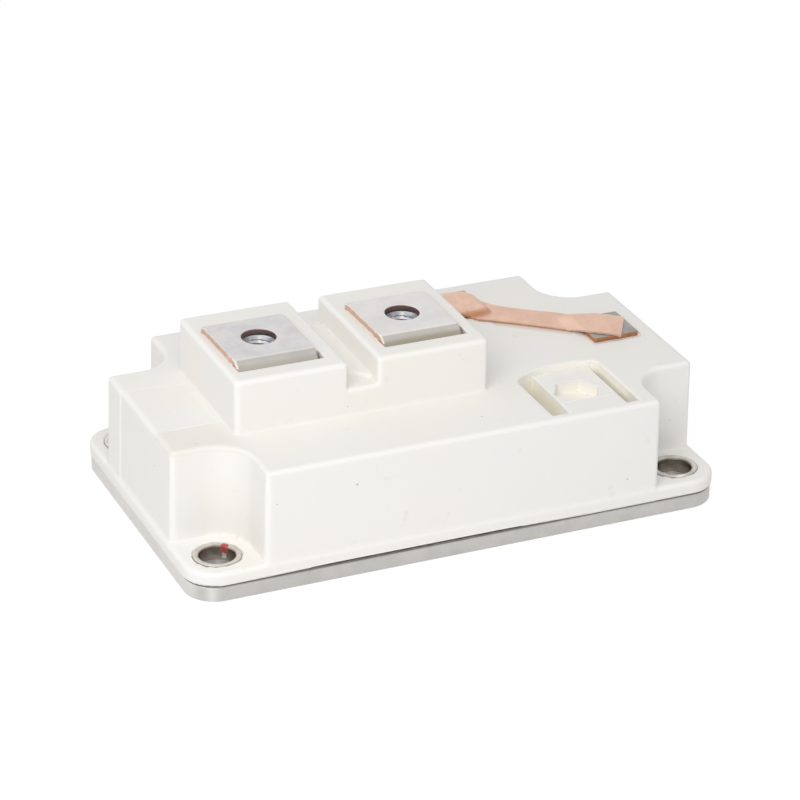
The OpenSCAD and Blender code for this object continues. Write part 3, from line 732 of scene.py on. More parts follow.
# Painted warm bounce light inside the slots, the empty station's nut pocket and the walls of its seat.
painted_recess_light = ramp(DECK_Z - 0.4 - pz, 0.5) * (np.minimum(left_slot, right_slot) < 0.35)
in_pocket = hexagon(px, py, EMPTY_NUT, EMPTY_NUT_ACROSS) < 0.35
painted_recess_light = np.maximum(painted_recess_light, 0.8 * in_pocket * ramp(PLATFORM_Z - 0.1 - pz, 1.2))
seat = empty_outline(px, py, EMPTY_Y[1]) < 0.5
painted_recess_light = np.maximum(painted_recess_light, seat * (pz < DECK_Z - 0.15) * (pz > PLATFORM_Z + 0.1))
# Edge mark for painted light: above zero on outer edges for a painted highlight, below zero in inner corners
# for painted shade.  The rim of the empty station's front strip is set to a full painted highlight.
edge = np.clip(bending(housing_field, points) / 1.2, -1.0, 1.0) * (pz > SEAM_Z + 0.3)
painted_strip_highlight = (np.abs(py - EMPTY_Y[1]) < 0.5) * (px > EMPTY_X[1] - 1.2) * (px < EMPTY_X[2] - 1.4)
edge = np.maximum(edge, 1.0 * painted_strip_highlight * (pz > DECK_Z - 0.5))
housing = piece("housing_moulding", points, quads, ivory, ("housing", "housing_flange", "terminal_block"),
                normals, marks={"painted_light_amount": painted_recess_light, "edge": edge})

# %% [markdown]
# ## Metals
# The metal parts share one kind of finish: a plated tone with drawing or rolling streaks, cloudy
# handling marks and fine pits, over a second tone where the metal has been sheared or the
# plating is thin.  Which tone applies is a mark on the mesh called "cut".  Further marks paint
# light into the colour: a painted highlight, painted shade on the terminals' bends and painted
# shade on the walls of their holes.

# %% Plated metal
def plated(name, tone, dull, cut_tone, roughness=0.3, streak=(1.0, 0.06, 1.0), shade=None):
    """Plated metal: tone to dull in clouds, cut_tone where the mark "cut" is 1, and towards
    shade where the mark "bend" is 1, which is painted shade.  The mark "glint" paints a
    highlight, and a further mark paints dark copper shade on the terminals' hole walls."""
    made, make, shader = material(name, roughness, 1.0)
    point = place(make)
    clouds = grain(make, point, 6.0, 4.0, 0.6)
    lines = grain(make, place(make, streak), 0.35, 3.0, 0.6)
    wipe = grain(make, place(make, (1.0, 0.5, 1.0), (0.0, 0.0, 0.6)), 2.2, 4.0, 0.55)
    cut = mark(make, "cut")
    rough_cut = grain(make, place(make, (1.0, 1.0, 0.25)), 0.5, 4.0, 0.7)
    # Painted highlight where the mark "glint" is set.
    glint = mark(make, "glint")
    face = blend(make, (0.75 * clouds.step(0.38, 0.68) + 0.3 * wipe.step(0.5, 0.7)).at_most(1.0), tone, dull)
    face = blend(make, 0.16 * lines.step(0.45, 0.7), face, dull)
    # Painted shade on a bend, where the mark "bend" is set.
    if shade is not None:
        bend = mark(make, "bend")
        face = blend(make, bend, face, shade)
    bare = blend(make, rough_cut.step(0.3, 0.75), cut_tone, tuple(0.72 * c for c in cut_tone))
    pits = grain(make, point, 0.22, 2.0, 0.6)
    face = blend(make, glint, blend(make, cut, face, bare), colour(255, 252, 246))
    # Painted shade on the terminals' hole walls: dark copper brown, the punched copper of the wall darkened
    # as painted shade.
    hole_shade = mark(make, "hole_shade")
    feed(shader, Base_Color=blend(make, 0.85 * hole_shade, face, colour(150, 112, 98)),
         Roughness=roughness + 0.14 * clouds + 0.08 * lines + 0.15 * cut,
         Normal=relief(make, lines, 0.010, 0.5, relief(make, pits + 1.5 * (rough_cut * cut), 0.02, 0.35)))
    return made


COPPER = colour(232, 196, 174)
NICKEL = colour(232, 230, 230)
NICKEL_DULL = colour(216, 214, 216)
nickel_side = plated("nickel_plate", colour(212, 210, 206), colour(203, 201, 197), colour(206, 202, 196),
                     0.36, (0.04, 0.04, 1.0))
# The terminals' last colour is the painted shade of their bends.
terminal_finish = plated("plated_copper", NICKEL, NICKEL_DULL, COPPER, 0.34, (1.0, 0.05, 1.0),
                         colour(190, 178, 156))
small_finish = plated("tinned_copper", colour(188, 186, 180), colour(160, 162, 160),
                      colour(214, 160, 122), 0.42)
zinc_finish = plated("zinc_steel", colour(224, 228, 235), colour(190, 196, 206),
                     colour(150, 154, 160), 0.22)
print("metals ready")

# %% [markdown]
# ## Base plate
# A nickel plated copper plate that spreads the heat.  It's punched, so its edges are slightly
# rolled over, and the underside is lapped flat.  A box with a bevel would do for the outline,
# but the field also gives the screw holes the same rolled edge in one step.


# %% Base plate
plate_low, plate_high = span("base_plate")
PLATE = 2 * plate_high[:2]
PLATE_CORNER = 6.0
HOLE_R = holes["hole_r_mm"]


def plate_field(x, y, z):
    """Rounded rectangle between two levels, less the four holes."""
    body = both(oblong(x, y, (0.0, 0.0), PLATE, PLATE_CORNER), slab(z, plate_low[2], plate_high[2]), 0.3)
    return without(body, disc(np.abs(x), np.abs(y), (HOLE_X, HOLE_Y), HOLE_R), 0.25)


def lapped_underside(made):
    """Adds faint crossing lapping lines and a dull stain to the underside of a metal."""
    tree = made.node_tree
    make = Shade(tree)
    shader = tree.nodes["Principled BSDF"]
    before = Shade(tree, shader.inputs["Base Color"].links[0].from_socket)
    down = make.node("ShaderNodeSeparateXYZ", {}, {0: make.node("ShaderNodeTexCoord", output="Object")}, 2)
    under = (down * 1000.0).step(0.3, 0.05)
    laps = grain(make, place(make, (0.05, 1.0, 1.0), (0.0, 0.0, 0.5)), 0.4, 3.0, 0.6)
    stain = grain(make, place(make), 14.0, 5.0, 0.6).step(0.5, 0.72)
    feed(shader, Base_Color=blend(make, under * (0.16 * laps + 0.3 * stain), before, colour(150, 140, 128)))


lapped_underside(nickel_side)
ring = HOLE_R * np.array([-1.0, -0.72, -0.36, 0.0, 0.36, 0.72, 1.0])
corner = np.array([0.1, 0.9, 1.8, 3.0, 4.5, PLATE_CORNER])
edge_x, edge_y = ([s * m for s in (-1, 1) for m in (*(half - corner), *(hole + ring))]
                  for half, hole in ((PLATE[0] / 2, HOLE_X), (PLATE[1] / 2, HOLE_Y)))
points, normals, quads = skin(plate_field, graded(-54.0, 54.0, 2.0, edge_x, 0.25, 0.3),
                              graded(-31.5, 31.5, 2.0, edge_y, 0.25, 0.3),
                              graded(-0.4, 3.4, 0.5, [0.1, 2.9], 0.12, 0.4))
# Painted highlight on the plate's rounded front left corner and painted light on its left side.
painted_corner_highlight = hump(normals[:, 0], -0.42, 0.16) * (normals[:, 1] < -0.5)
painted_left_side_light = 0.32 * ramp(-0.7 - normals[:, 0], 0.2)
piece("base", points, quads, nickel_side, ("base_plate",), normals,
      marks={"cut": 0.0 * points[:, 0], "glint": 0.55 * painted_corner_highlight + painted_left_side_light})

# %% [markdown]
# ## Sleeves
# Steel sleeves carry the screw's load past the plastic.  They are turned and zinc plated, with
# a rolled lip that catches the light.  A lathe of a rounded outline gives that directly.  The
# front left one carries a dab of red lacquer with a clear run below it and a painted highlight
# on the dab.  The bores are coloured darker as painted shade, and the lips of the right-hand
# sleeves get a painted highlight at the front.


# %% Sleeves
DAB_MIDDLE = (-HOLE_X + 2.35, -HOLE_Y + 2.45)
LIP_R = 0.55


def sleeve_metal(name, dab):
    """Zinc plated steel, its bore darkened as painted shade and a painted highlight where the
    mark "glint" is set; dab adds the red lacquer inside the rear lip with a painted highlight.
    """
    made, make, shader = material(name, 0.3, 1.0)
    point = place(make)
    x, y, z = axes_mm(make, point)
    turns = grain(make, place(make, (0.08, 0.08, 1.0)), 0.3, 3.0, 0.6)
    clouds = grain(make, point, 1.6, 4.0, 0.6)
    inner = mark(make, "cut")
    tone = blend(make, clouds.step(0.35, 0.7), colour(230, 226, 219), colour(204, 199, 190))
    # Painted shade: the bore is coloured darker.
    bore_shade = blend(make, clouds.step(0.3, 0.7), colour(168, 160, 150), colour(138, 130, 121))
    tone = blend(make, inner, tone, bore_shade)
    # Painted highlight where the mark "glint" is set.
    wear_and_painted_sheen = mark(make, "glint")
    tone = blend(make, wear_and_painted_sheen, tone, colour(255, 255, 255))
    rough = 0.26 + 0.2 * clouds
    if dab:
        cx, cy = DAB_MIDDLE
        ragged = 0.8 * grain(make, point, 0.5, 3.0)
        away = ((x - cx) * (x - cx) + (y - cy) * (y - cy)) ** 0.5 + ragged
        level = z + 0.7 * grain(make, point, 0.5, 2.0)
        red = away.step(1.3, 1.05) * level.step(4.75, 4.95)
        run = away.step(0.98, 0.7) * level.step(4.95, 4.75) * z.step(3.2, 3.6)
        # shine is a painted highlight on the lacquer.
        shine = 0.5 * away.step(0.5, 0.1) * level.step(5.3, 5.5) * level.step(6.3, 6.0)
        lacquer = blend(make, clouds.step(0.4, 0.6), colour(206, 108, 96), colour(160, 70, 64))
        tone = blend(make, red, tone, lacquer)
        tone = blend(make, run.at_least(shine), tone, colour(226, 224, 226))
        rough = rough - 0.1 * red
        feed(shader, Metallic=1.0 - red)
    feed(shader, Base_Color=tone, Roughness=rough, Normal=relief(make, turns, 0.02, 0.4))
    return made


sleeve_low, sleeve_high = span("sleeve_front_left")
plain_sleeve = sleeve_metal("sleeve_metal", False)
marked_sleeve = sleeve_metal("marked_sleeve_metal", True)
outer_r = (sleeve_high[0] - sleeve_low[0]) / 2
tall = sleeve_high[2] - sleeve_low[2]
turned = rounded_outline([(HOLE_R, 0.0), (outer_r, 0.0), (outer_r, tall), (HOLE_R, tall)], 0.22, 4)
arc = np.linspace(np.pi / 2, 0.0, 7)
lip = np.stack([HOLE_R + LIP_R - LIP_R * np.cos(arc), tall - LIP_R + LIP_R * np.sin(arc)], axis=1)
turned = np.concatenate([turned[:12], lip])
for name, sx, sy in (("front_left", -1, -1), ("front_right", 1, -1), ("rear_left", -1, 1),
                     ("rear_right", 1, 1)):
    middle = (sx * HOLE_X, sy * HOLE_Y, sleeve_low[2])
    points, quads = lathe(turned, middle, 72)
    away, turn = polar(points, middle)
    # Painted highlight on the front of the lips of both right-hand sleeves.
    glint = (sx > 0) * hump(turn, -1.75, 0.22) * (points[:, 2] > sleeve_high[2] - 0.6)
    piece("sleeve_ring_" + name, points, quads, marked_sleeve if name == "front_left" else plain_sleeve,
          ("sleeve_" + name,), marks={"cut": ramp(HOLE_R + 0.3 - away, 0.2), "glint": glint})

# %% [markdown]
# ## Main nuts
# M6 nuts lie in hexagonal pockets under the terminals and only their threads show through the
# holes.  A torus per turn would give rings; the field gives a true helix: the bore's radius
# follows a triangle wave of height minus angle.


# %% Main nuts
THREAD_R, THREAD_DEEP = 2.6, 0.3
COUNTERSINK_R = 3.2


def nut_field(x, y, z, middle, low, high):
    """Hexagon less a threaded bore of 1 mm pitch, with a wide countersink at the top."""
    body = both(hexagon(x, y, middle, NUT_ACROSS), slab(z, low, high), 0.25)
    u, v = x - middle[0], y - middle[1]
    around = np.arctan2(v, u) / (2 * np.pi)
    phase = (z - around) % 1.0
    bore = THREAD_R + THREAD_DEEP * (1.0 - np.abs(2.0 * phase - 1.0))
    bore = np.maximum(bore, COUNTERSINK_R - 0.45 * np.clip(high - z, 0.0, None))
    return np.maximum(body, 0.75 * (bore - np.hypot(u, v)))


for side, middle_x in zip(("left", "right"), TERMINAL_X):
    low, high = (corner[2] for corner in span("main_nut_" + side))
    middle = (middle_x, TERMINAL_Y)
    lines_x, lines_y = (graded(m - half, m + half, 0.5, [m - 3, m, m + 3], 0.11, 0.06)
                        for m, half in zip(middle, (6.2, 5.4)))
    points, normals, quads = skin(lambda x, y, z: nut_field(x, y, z, middle, low, high),
                                  lines_x, lines_y, np.arange(low - 0.3, high + 0.35, 0.11))
    away, turn = polar(points, middle)
    # Painted highlights on the threads at the back of the bore.
    lit = hump(turn, 1.15, 0.14) + 0.8 * hump(turn, 1.75, 0.1)
    lit = lit * (away < 3.1) * (points[:, 2] > high - 2.2)
    piece("nut_" + side, points, quads, zinc_finish, ("main_nut_" + side,), normals,
          marks={"glint": lit})

# %% [markdown]
# ## Main terminals
# Each terminal is a strip of copper, plated before it was sheared from the sheet, so the sheared
# left side shows copper with a small burr.  It bends down over the block's front and its leg
# runs to the substrates.  Sweeping a rectangle along a path would leave sharp rims; the field
# takes the distance to the bent strip and rounds every rim.


# %% Main terminal field
BURRS_Y = (6.9, -6.1)
LEAN = 0.42
STRIP_END_Z = 24.4


def strip(y, z, low):
    """Distance to the bent strip seen from the side: flat, quarter bend and leg."""
    turn_y, turn_z = LEG_Y + BEND_R, TERMINAL_TOP - BEND_R
    flat = slab(z, TERMINAL_TOP - TERMINAL_T, TERMINAL_TOP)
    bend = slab(np.hypot(y - turn_y, z - turn_z), BEND_R - TERMINAL_T, BEND_R)
    leg = slab(y, LEG_Y, LEG_Y + TERMINAL_T)
    side = np.where(y > turn_y, flat, np.where(z > turn_z, bend, leg))
    return np.maximum(side, low - z)


def terminal_field(x, y, z, middle):
    """Bent strip with a hole, one round back corner and one sharp, and a ragged sheared side that
    leans out a little towards the back."""
    ragged = 0.05 * np.sin(2.3 * y) * np.sin(0.9 * y + 1.0)
    burr = 0.3 * hump(y, BURRS_Y[0], 0.4) + 0.28 * hump(y, BURRS_Y[1], 0.4)
    lean = LEAN * ramp(y - LEG_Y - 1.0, 17.0)
    u = x + (ragged + burr + lean) * (x < middle)
    outline = oblong(u, y, (middle, (LEG_Y - 4.0 + TERMINAL_BACK) / 2),
                     (TERMINAL_W, TERMINAL_BACK - LEG_Y + 4.0), np.where(x < middle, 0.25, 1.2))
    body = both(strip(y, z, STRIP_END_Z), outline, 0.2)
    return without(body, disc(x, y, (middle, TERMINAL_Y), TERMINAL_HOLE_R), 0.14)


# %% Main terminals
CHIP_Z = span("switch_chip_1")[0][2]
FEET_X = (-18.5, 18.5)
FOOT = 2.1
BAR_Z, BAR_BACK = 18.4, 14.0
front_leg, rear_leg = (LEG_Y, LEG_Y + TERMINAL_T), (BAR_BACK - TERMINAL_T, BAR_BACK)
left_strip, right_strip = ((x - TERMINAL_W / 2, x + TERMINAL_W / 2) for x in TERMINAL_X)
bar_z, toe_z = (BAR_Z, BAR_Z + TERMINAL_T), (CHIP_Z, CHIP_Z + 0.5)
emitter_legs = [box_mesh(left_strip, (LEG_Y, BAR_BACK), bar_z),
                box_mesh(left_strip, front_leg, (BAR_Z, 24.6)),
                box_mesh((TERMINAL_X[0], FEET_X[1] + FOOT), (5.0, BAR_BACK), bar_z)]
collector_legs = [box_mesh((FEET_X[0] - FOOT, FEET_X[1] + FOOT), front_leg, (9.0, 15.0)),
                  box_mesh(right_strip, front_leg, (9.0, 24.6))]
for foot in ((x - FOOT, x + FOOT) for x in FEET_X):
    collector_legs += [box_mesh(foot, front_leg, (CHIP_Z, 10.0)),
                       box_mesh(foot, (LEG_Y, LEG_Y + 3.0 + TERMINAL_T), toe_z)]
    emitter_legs += [box_mesh(foot, rear_leg, (CHIP_Z, 19.0)),
                     box_mesh(foot, (BAR_BACK - TERMINAL_T, 17.0), toe_z)]

# The last value in each row scales the painted bend shade: more of it on the right terminal.
for side, middle, legs, node, painted_light_amount in (
        ("left", TERMINAL_X[0], emitter_legs, "emitter_terminal", 0.75),
        ("right", TERMINAL_X[1], collector_legs, "collector_terminal", 0.9)):
    rim_x = [middle - 7.8, middle + 7.8, middle - TERMINAL_HOLE_R, middle + TERMINAL_HOLE_R]
    rim_y = [LEG_Y + 0.4, LEG_Y + 2.2, -3.5, 2.9, *BURRS_Y]
    rim_z = [BLOCK_Z, TERMINAL_TOP - 0.1, TERMINAL_TOP - 1.0, 33.4]
    points, normals, quads = skin(lambda x, y, z: terminal_field(x, y, z, middle),
                                  graded(middle - 8.6, middle + 8.5, 0.6, rim_x, 0.13, 0.15),
                                  graded(LEG_Y - 0.5, TERMINAL_BACK + 0.6, 0.5, rim_y, 0.16, 0.12),
                                  graded(24.0, TERMINAL_TOP + 0.4, 0.8, rim_z, 0.11, 0.12))
    px, py, pz = points.T
    nx, _, nz = normals.T
    sheared = ramp(np.abs(nx) - 0.45, 0.3) * (np.abs(px - middle) > 7.0)
    # Painted shade on the hole walls.
    in_hole = (polar(points, (middle, TERMINAL_Y))[0] < 3.6) & (np.abs(nz) < 0.75)
    # Painted shade over the front bend, banded along its curve; the legs below take it in full.
    drop = (TERMINAL_TOP - pz) * (py < LEG_Y + BEND_R + 0.3)
    painted_bend_shade = ramp(drop - 0.05, 0.12) * (0.72 + 0.28 * np.cos(2 * np.pi * np.clip(drop, 0.0, 1.1) / 1.1))
    painted_bend_shade = painted_bend_shade * painted_light_amount
    # Painted highlights: a line where the fold starts, a streak down the left edge of the bend, the left
    # bend lightened and the right terminal's upward faces lightened.
    glint = 0.6 * hump(drop, 0.07, 0.05)
    glint += 0.9 * (drop > 0.1) * (drop < 1.0) * (px < middle - 7.6) * (nx > -0.7)
    glint += 0.28 * painted_bend_shade if side == "left" else 0.3 * ramp(nz - 0.8, 0.15)
    legs_points, legs_faces = joined(*legs)
    none, full = np.zeros(len(legs_points)), np.ones(len(legs_points))
    piece("terminal_" + side, *joined((points, quads), (legs_points, legs_faces)), terminal_finish,
          (node,), marks={"cut": np.append(sheared, none), "bend": np.append(painted_bend_shade * (1 - in_hole), full),
                          "glint": np.append(glint * (1 - in_hole), none),
                          "hole_shade": np.append(in_hole, none)})

# %% [markdown]
# ## Small terminals
# The small terminals are thinner tinned plates over M4 nuts.  Like the main ones they are sheared
# after plating, so their front and left edges show copper.  Only their rims and corners show
# beside the strap.


# %% Small terminals
def small_field(x, y, z, middle):
    """Square plate with a hole, and a leg down from its rear edge."""
    body = both(oblong(x, y, middle, SMALL_PLATE, 0.35), slab(z, SEAT_Z, SMALL_TOP), 0.16)
    body = without(body, disc(x, y, middle, 2.2), 0.1)
    leg = both(oblong(x, y, leg_middle(middle), (SMALL_LEG_W, SMALL_T), 0.1),
               slab(z, gate_low[2], SEAT_Z + 0.5))
    return np.minimum(body, leg)


for name, middle in zip(("gate", "sense"), STATIONS):
    lines_x, lines_y = (graded(m - reach, m + reach, 0.6, [m - half, m + half, m], 0.1, 0.2)
                        for m, reach, half in zip(middle, (5.4, 5.6), SMALL_PLATE / 2))
    points, normals, quads = skin(lambda x, y, z: small_field(x, y, z, middle), lines_x, lines_y,
                                  graded(13.6, SMALL_TOP + 0.4, 1.2, [SEAT_Z, SMALL_TOP - 0.1], 0.09, 0.3))
    sheared = ramp(np.hypot(normals[:, 0], normals[:, 1]) - 0.5, 0.3)
    piece(name + "_plate", points, quads, small_finish, (name + "_terminal",), normals,
          marks={"cut": sheared})

# %% [markdown]
# ## Shorting strap
# A strip of soft copper foil is pressed over both small terminals for storage.  It was creased by
# hand: a flag lies on the rear terminal, folds down to the deck, runs across it and climbs onto
# the right terminal.  Cloth simulation could drape it, but foil keeps the folds that fingers
# give it, so its rear and front edges are drawn through a few points each and the surface
# between them is bowed and dented slightly.

# %% Shorting strap
STRAP_LOW = span("shorting_strap")[0][:2]
REAR = STRAP_LOW + np.array([(3.16, 29.18), (5.76, 29.18), (8.26, 28.88), (10.06, 25.88),
                             (11.86, 22.88), (14.86, 19.98), (20.16, 16.08), (25.46, 12.28),
                             (27.96, 10.58), (30.56, 8.68), (32.86, 6.58)])
FRONT = STRAP_LOW + np.array([(2.86, 19.58), (4.26, 19.38), (5.46, 18.78), (6.56, 17.08),
                              (8.46, 15.88), (11.66, 13.68), (17.66, 9.08), (21.16, 6.18),
                              (23.26, 3.28), (25.86, 1.38), (28.56, -0.52)])
STRAP_T = 0.22


def edge_curve(corners, steps):
    """Points along the polyline at even fractions of each part, with the corners eased."""
    fraction = np.linspace(0.0, len(corners) - 1.0, steps)
    plain = np.stack([np.interp(fraction, np.arange(len(corners)), corners[:, k]) for k in (0, 1)], axis=1)
    kernel = np.array([1.0, 2.0, 3.0, 2.0, 1.0]) / 9.0
    padded = np.pad(plain, ((2, 2), (0, 0)), mode="edge")
    return sum(kernel[k] * padded[k:k + steps] for k in range(5))


def strap_surface(along=220, across=40):
    """Foil between the two edges.  It lies on whatever is highest near it, the deck or a
    terminal, with a slope of about one to one beside a terminal, and is bowed and dented."""
    rear, front = edge_curve(REAR, along), edge_curve(FRONT, along)
    v = np.linspace(0.0, 1.0, across)[None, :, None]
    sheet = rear[:, None] * (1 - v) + front[:, None] * v
    u = np.linspace(0.0, 10.0, along)[:, None]
    w = v[..., 0]
    x, y = sheet[..., 0], sheet[..., 1]
    near = np.minimum(*(oblong(x, y, middle, SMALL_PLATE, 0.2) for middle in STATIONS))
    steep = np.where(x < 30.0, 0.75, 0.3)
    lie = np.maximum(DECK_Z, SMALL_TOP - steep * np.clip(near - 0.15, 0.0, None)) + STRAP_T + 0.04
    bow = 0.16 * np.sin(np.pi * w) * hump(u, 5.0, 2.2)
    dents = 0.06 * np.sin(1.9 * u + 3.0 * w) * np.sin(5.1 * w + 0.7 * u) + 0.03 * np.sin(4.3 * u - 6.0 * w)
    return np.dstack([x, y, lie + bow + np.abs(dents)]), u + 0 * w, w + 0 * u


sheet, along_u, across_v = strap_surface()
rows, columns = sheet.shape[:2]
upper = sheet.reshape(-1, 3)
lower = upper - np.array([0.0, 0.0, STRAP_T])
i, j = np.meshgrid(np.arange(rows - 1), np.arange(columns - 1), indexing="ij")
k = (i * columns + j).ravel()
top_faces = np.stack([k, k + 1, k + columns + 1, k + columns], axis=1)
total = rows * columns
rim = np.concatenate([np.arange(columns), np.arange(1, rows) * columns + columns - 1,
                      (rows - 1) * columns + np.arange(columns - 2, -1, -1),
                      np.arange(rows - 2, 0, -1) * columns])
next_rim = np.roll(rim, -1)
side_faces = np.stack([rim, rim + total, next_rim + total, next_rim], axis=1)
faces = np.concatenate([top_faces[:, ::-1], top_faces + total, side_faces])
off_edge = oblong(sheet[..., 0], sheet[..., 1], STATIONS[1], SMALL_PLATE, 0.2)
# Painted shade where the foil drops from the rear terminal, and along the front edge of its middle.
painted_crease_shade = hump(off_edge, 0.9, 0.8) * ramp(18.5 - sheet[..., 1], 2.0) * ramp(27.0 - sheet[..., 0], 3.0)
painted_crease_shade = np.maximum(painted_crease_shade, 0.7 * hump(across_v, 1.0, 0.06) * (along_u > 2.4) * (along_u < 6.8))


def foil_copper():
    """Soft matt copper: peach, with painted shade in the fold and along the front edge of its
    middle, and faint rolling lines.
    """
    made, make, shader = material("bare_copper", 0.46, 1.0)
    point = place(make)
    clouds = grain(make, point, 4.0, 4.0, 0.6)
    rolled = grain(make, place(make, (0.07, 1.0, 1.0), (0.0, 0.0, 0.69)), 0.4, 3.0, 0.6)
    fold_shade = mark(make, "painted_crease_shade")
    tone = blend(make, clouds.step(0.35, 0.7), colour(244, 210, 191), colour(234, 200, 180))
    tone = blend(make, 0.25 * rolled.step(0.4, 0.7), tone, colour(240, 190, 160))
    tone = blend(make, 0.9 * fold_shade, tone, colour(206, 146, 106))
    feed(shader, Base_Color=tone, Roughness=0.42 + 0.16 * clouds,
         Normal=relief(make, grain(make, point, 1.3, 3.0, 0.5), 0.05, 0.35))
    return made


strap_finish = foil_copper()
piece("strap", np.concatenate([upper, lower]), faces, strap_finish, ("shorting_strap",),
      marks={"painted_crease_shade": np.tile(painted_crease_shade.ravel(), 2)})

# %% [markdown]
# ## Inside
# The sealed-in parts keep the imported solids and get their own finishes: adhesive, gel, solder,
# etched copper, white ceramic, chips with a metallised top and stripes of cells, drawn wire and
# coloured insulation.  They only show when the housing is hidden or cut open.


# %% Inner finishes
def plain_finish(name, first, second, size_mm, roughness, metallic=0.0, bump_mm=0.02,
                 stretch=(1.0, 1.0, 1.0), coat=0.0):
    """Two tones mixed by stretched noise, with a matching change in roughness and relief."""
    made, make, shader = material(name, roughness, metallic, coat)
    point = place(make, stretch)
    mottled = grain(make, point, size_mm, 4.0, 0.6)
    fine = grain(make, place(make), size_mm * 0.12, 2.0, 0.6)
    feed(shader, Base_Color=blend(make, mottled.step(0.32, 0.68), first, second),
         Roughness=roughness - 0.08 + 0.16 * mottled, Normal=relief(make, fine, bump_mm, 0.4))
    return made


def chip_finish(name, pitch_mm):
    """Silicon with an aluminium top: fine stripes of cells and darker blotches."""
    made, make, shader = material(name, 0.25, 0.7)
    point = place(make)
    x = make.node("ShaderNodeSeparateXYZ", {}, {0: point}, 0) * (1000.0 / pitch_mm)
    stripe = abs(make.math("FRACT", x) - 0.5).step(0.1, 0.3)
    wear_and_painted_sheen = grain(make, point, 3.0, 4.0, 0.6)
    tone = blend(make, stripe, colour(150, 154, 160), colour(176, 178, 180))
    feed(shader, Base_Color=blend(make, 0.5 * wear_and_painted_sheen.step(0.4, 0.7), tone, colour(110, 116, 128)),
         Roughness=0.2 + 0.2 * wear_and_painted_sheen, Normal=relief(make, stripe, 0.004, 0.5))
    return made


finishes = (
    # The adhesive's dark grey is partly its own colour and partly painted shade of the seam gap under the
    # flange.
    (("seal_bead",), plain_finish("adhesive", colour(128, 124, 116), colour(108, 105, 98), 1.5, 0.7)),
    (("small_nut",),
     plain_finish("small_zinc_steel", colour(196, 200, 206), colour(166, 172, 182), 1.0, 0.3, 1.0)),
    (("gate_wire",), plain_finish("red_insulation", colour(190, 44, 38), colour(160, 32, 30), 2.0, 0.4)),
    (("sense_wire",),
     plain_finish("white_insulation", colour(236, 235, 230), colour(222, 221, 216), 2.0, 0.4)),
    (("silicone_gel",),
     plain_finish("gel", colour(232, 236, 236), colour(220, 226, 228), 9.0, 0.12, 0.0, 0.05, coat=0.5)),
    (("solder",),
     plain_finish("solder", colour(176, 177, 178), colour(146, 148, 150), 2.5, 0.4, 1.0, 0.05)),
    (("lower_copper", "collector_copper", "emitter_copper", "gate_copper"),
     plain_finish("copper_foil", colour(220, 150, 112), colour(190, 120, 86), 5.0, 0.4, 1.0)),
    (("ceramic",), plain_finish("alumina", colour(244, 244, 240), colour(234, 233, 228), 3.0, 0.6)),
    (("bond_wires",), plain_finish("bond_aluminium", colour(222, 223, 226), colour(196, 198, 202), 0.8, 0.3,
                                   1.0, 0.01, (1.0, 0.1, 1.0))),
    (("switch_chip",), chip_finish("switch_silicon", 0.5)),
    (("diode_chip",), chip_finish("diode_silicon", 2.0)))
dressed = 0
for node_name, node in nodes.items():
    for starts, finish in finishes:
        if node_name.startswith(starts):
            node.data.materials.clear()
            node.data.materials.append(finish)
            dressed += 1
print("solids dressed:", dressed)

# %% [markdown]
# ## Floor, background and light
# The object stands on a white sweep under soft light from all round, a little stronger from the
# front left.  The world lights the object evenly, rays from the camera or through glass see
# plain white, and mirror-like surfaces see a level that changes with direction.  The floor keeps
# a faint shadow.

# %% Floor
WORLD_LIGHT = 0.61
WORLD_SEEN = 1.02
MIRROR_LIGHT, MIRROR_SIDE, MIRROR_BACK = 0.31, -0.38, 0.10
FLOOR_GLOW, FLOOR_SEEN, FLOOR_MIRROR = 1.06, 0.86, 0.4


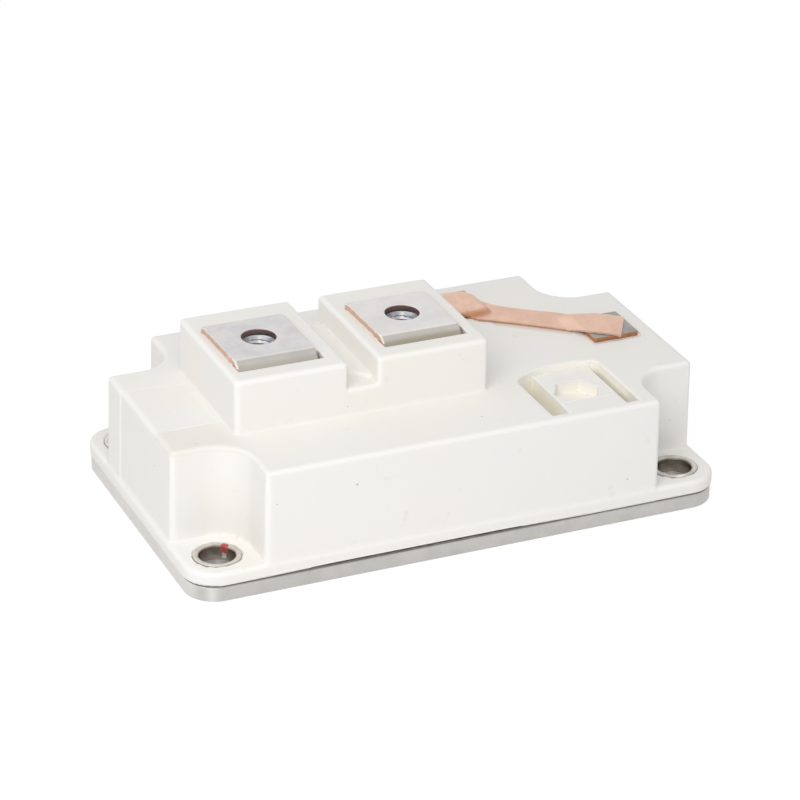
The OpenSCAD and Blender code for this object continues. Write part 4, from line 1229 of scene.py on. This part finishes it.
def white_floor():
    made = bpy.data.materials.new("white_floor")
    made.use_nodes = True
    tree = made.node_tree
    make = Shade(tree)
    tree.nodes.remove(tree.nodes["Principled BSDF"])
    matt = make.node("ShaderNodeBsdfDiffuse", {}, {"Color": (0.9, 0.9, 0.9, 1.0)})
    glow = make.node("ShaderNodeEmission", {}, {"Color": (1.0, 1.0, 1.0, 1.0), "Strength": FLOOR_GLOW})
    seen = ray(make, "Is Camera Ray")
    mirror = ray(make, "Is Glossy Ray")
    share = (FLOOR_SEEN * seen).at_least(FLOOR_MIRROR * mirror)
    mix = make.node("ShaderNodeMixShader", {}, {0: share, 1: matt, 2: glow})
    tree.links.new(mix.socket, tree.nodes["Material Output"].inputs["Surface"])
    return made


floor_mesh = bpy.data.meshes.new("floor")
floor_mesh.from_pydata([(-4, -4, 0), (4, -4, 0), (4, 4, 0), (-4, 4, 0)], [], [(0, 1, 2, 3)])
floor_mesh.materials.append(white_floor())
floor = bpy.data.objects.new("floor", floor_mesh)
bpy.context.scene.collection.objects.link(floor)

world = bpy.data.worlds.new("studio")
bpy.context.scene.world = world
world.use_nodes = True
make = Shade(world.node_tree)
seen = ray(make, "Is Camera Ray")
mirror = ray(make, "Is Glossy Ray")
clear = ray(make, "Is Transmission Ray")
toward = make.node("ShaderNodeTexCoord", output="Generated")
side, back = (make.node("ShaderNodeSeparateXYZ", {}, {0: toward}, k) for k in (0, 1))
plain = (seen + clear).at_most(1.0)
mirrored = MIRROR_LIGHT + MIRROR_SIDE * side + MIRROR_BACK * back
level = WORLD_LIGHT + (WORLD_SEEN - WORLD_LIGHT) * plain + mirror * mirrored
sky = world.node_tree.nodes["Background"]
sky.inputs["Color"].default_value = (1.0, 1.0, 1.0, 1.0)
world.node_tree.links.new(level.socket, sky.inputs["Strength"])
print("world light", WORLD_LIGHT)


# %% Soft lamps
def soft_lamp(name, place_m, aim_m, size_m, watts):
    """A square area light at place_m that faces aim_m."""
    lamp = bpy.data.lights.new(name, "AREA")
    lamp.shape = "SQUARE"
    lamp.size = size_m
    lamp.energy = watts
    made = bpy.data.objects.new(name, lamp)
    bpy.context.scene.collection.objects.link(made)
    back = np.array(place_m) - np.array(aim_m)
    back /= np.linalg.norm(back)
    side = np.cross((0.0, 0.0, 1.0), back)
    side /= np.linalg.norm(side)
    pose = np.eye(4)
    pose[:3, 0], pose[:3, 1], pose[:3, 2], pose[:3, 3] = side, np.cross(back, side), back, place_m
    made.matrix_world = pose.T.tolist()
    made.visible_glossy = False
    return made


key = soft_lamp("front_lamp", (-0.20, -0.25, 0.30), (0.0, 0.0, 0.02), 0.28, 0.80)
print("lamp", key.data.energy, "W")
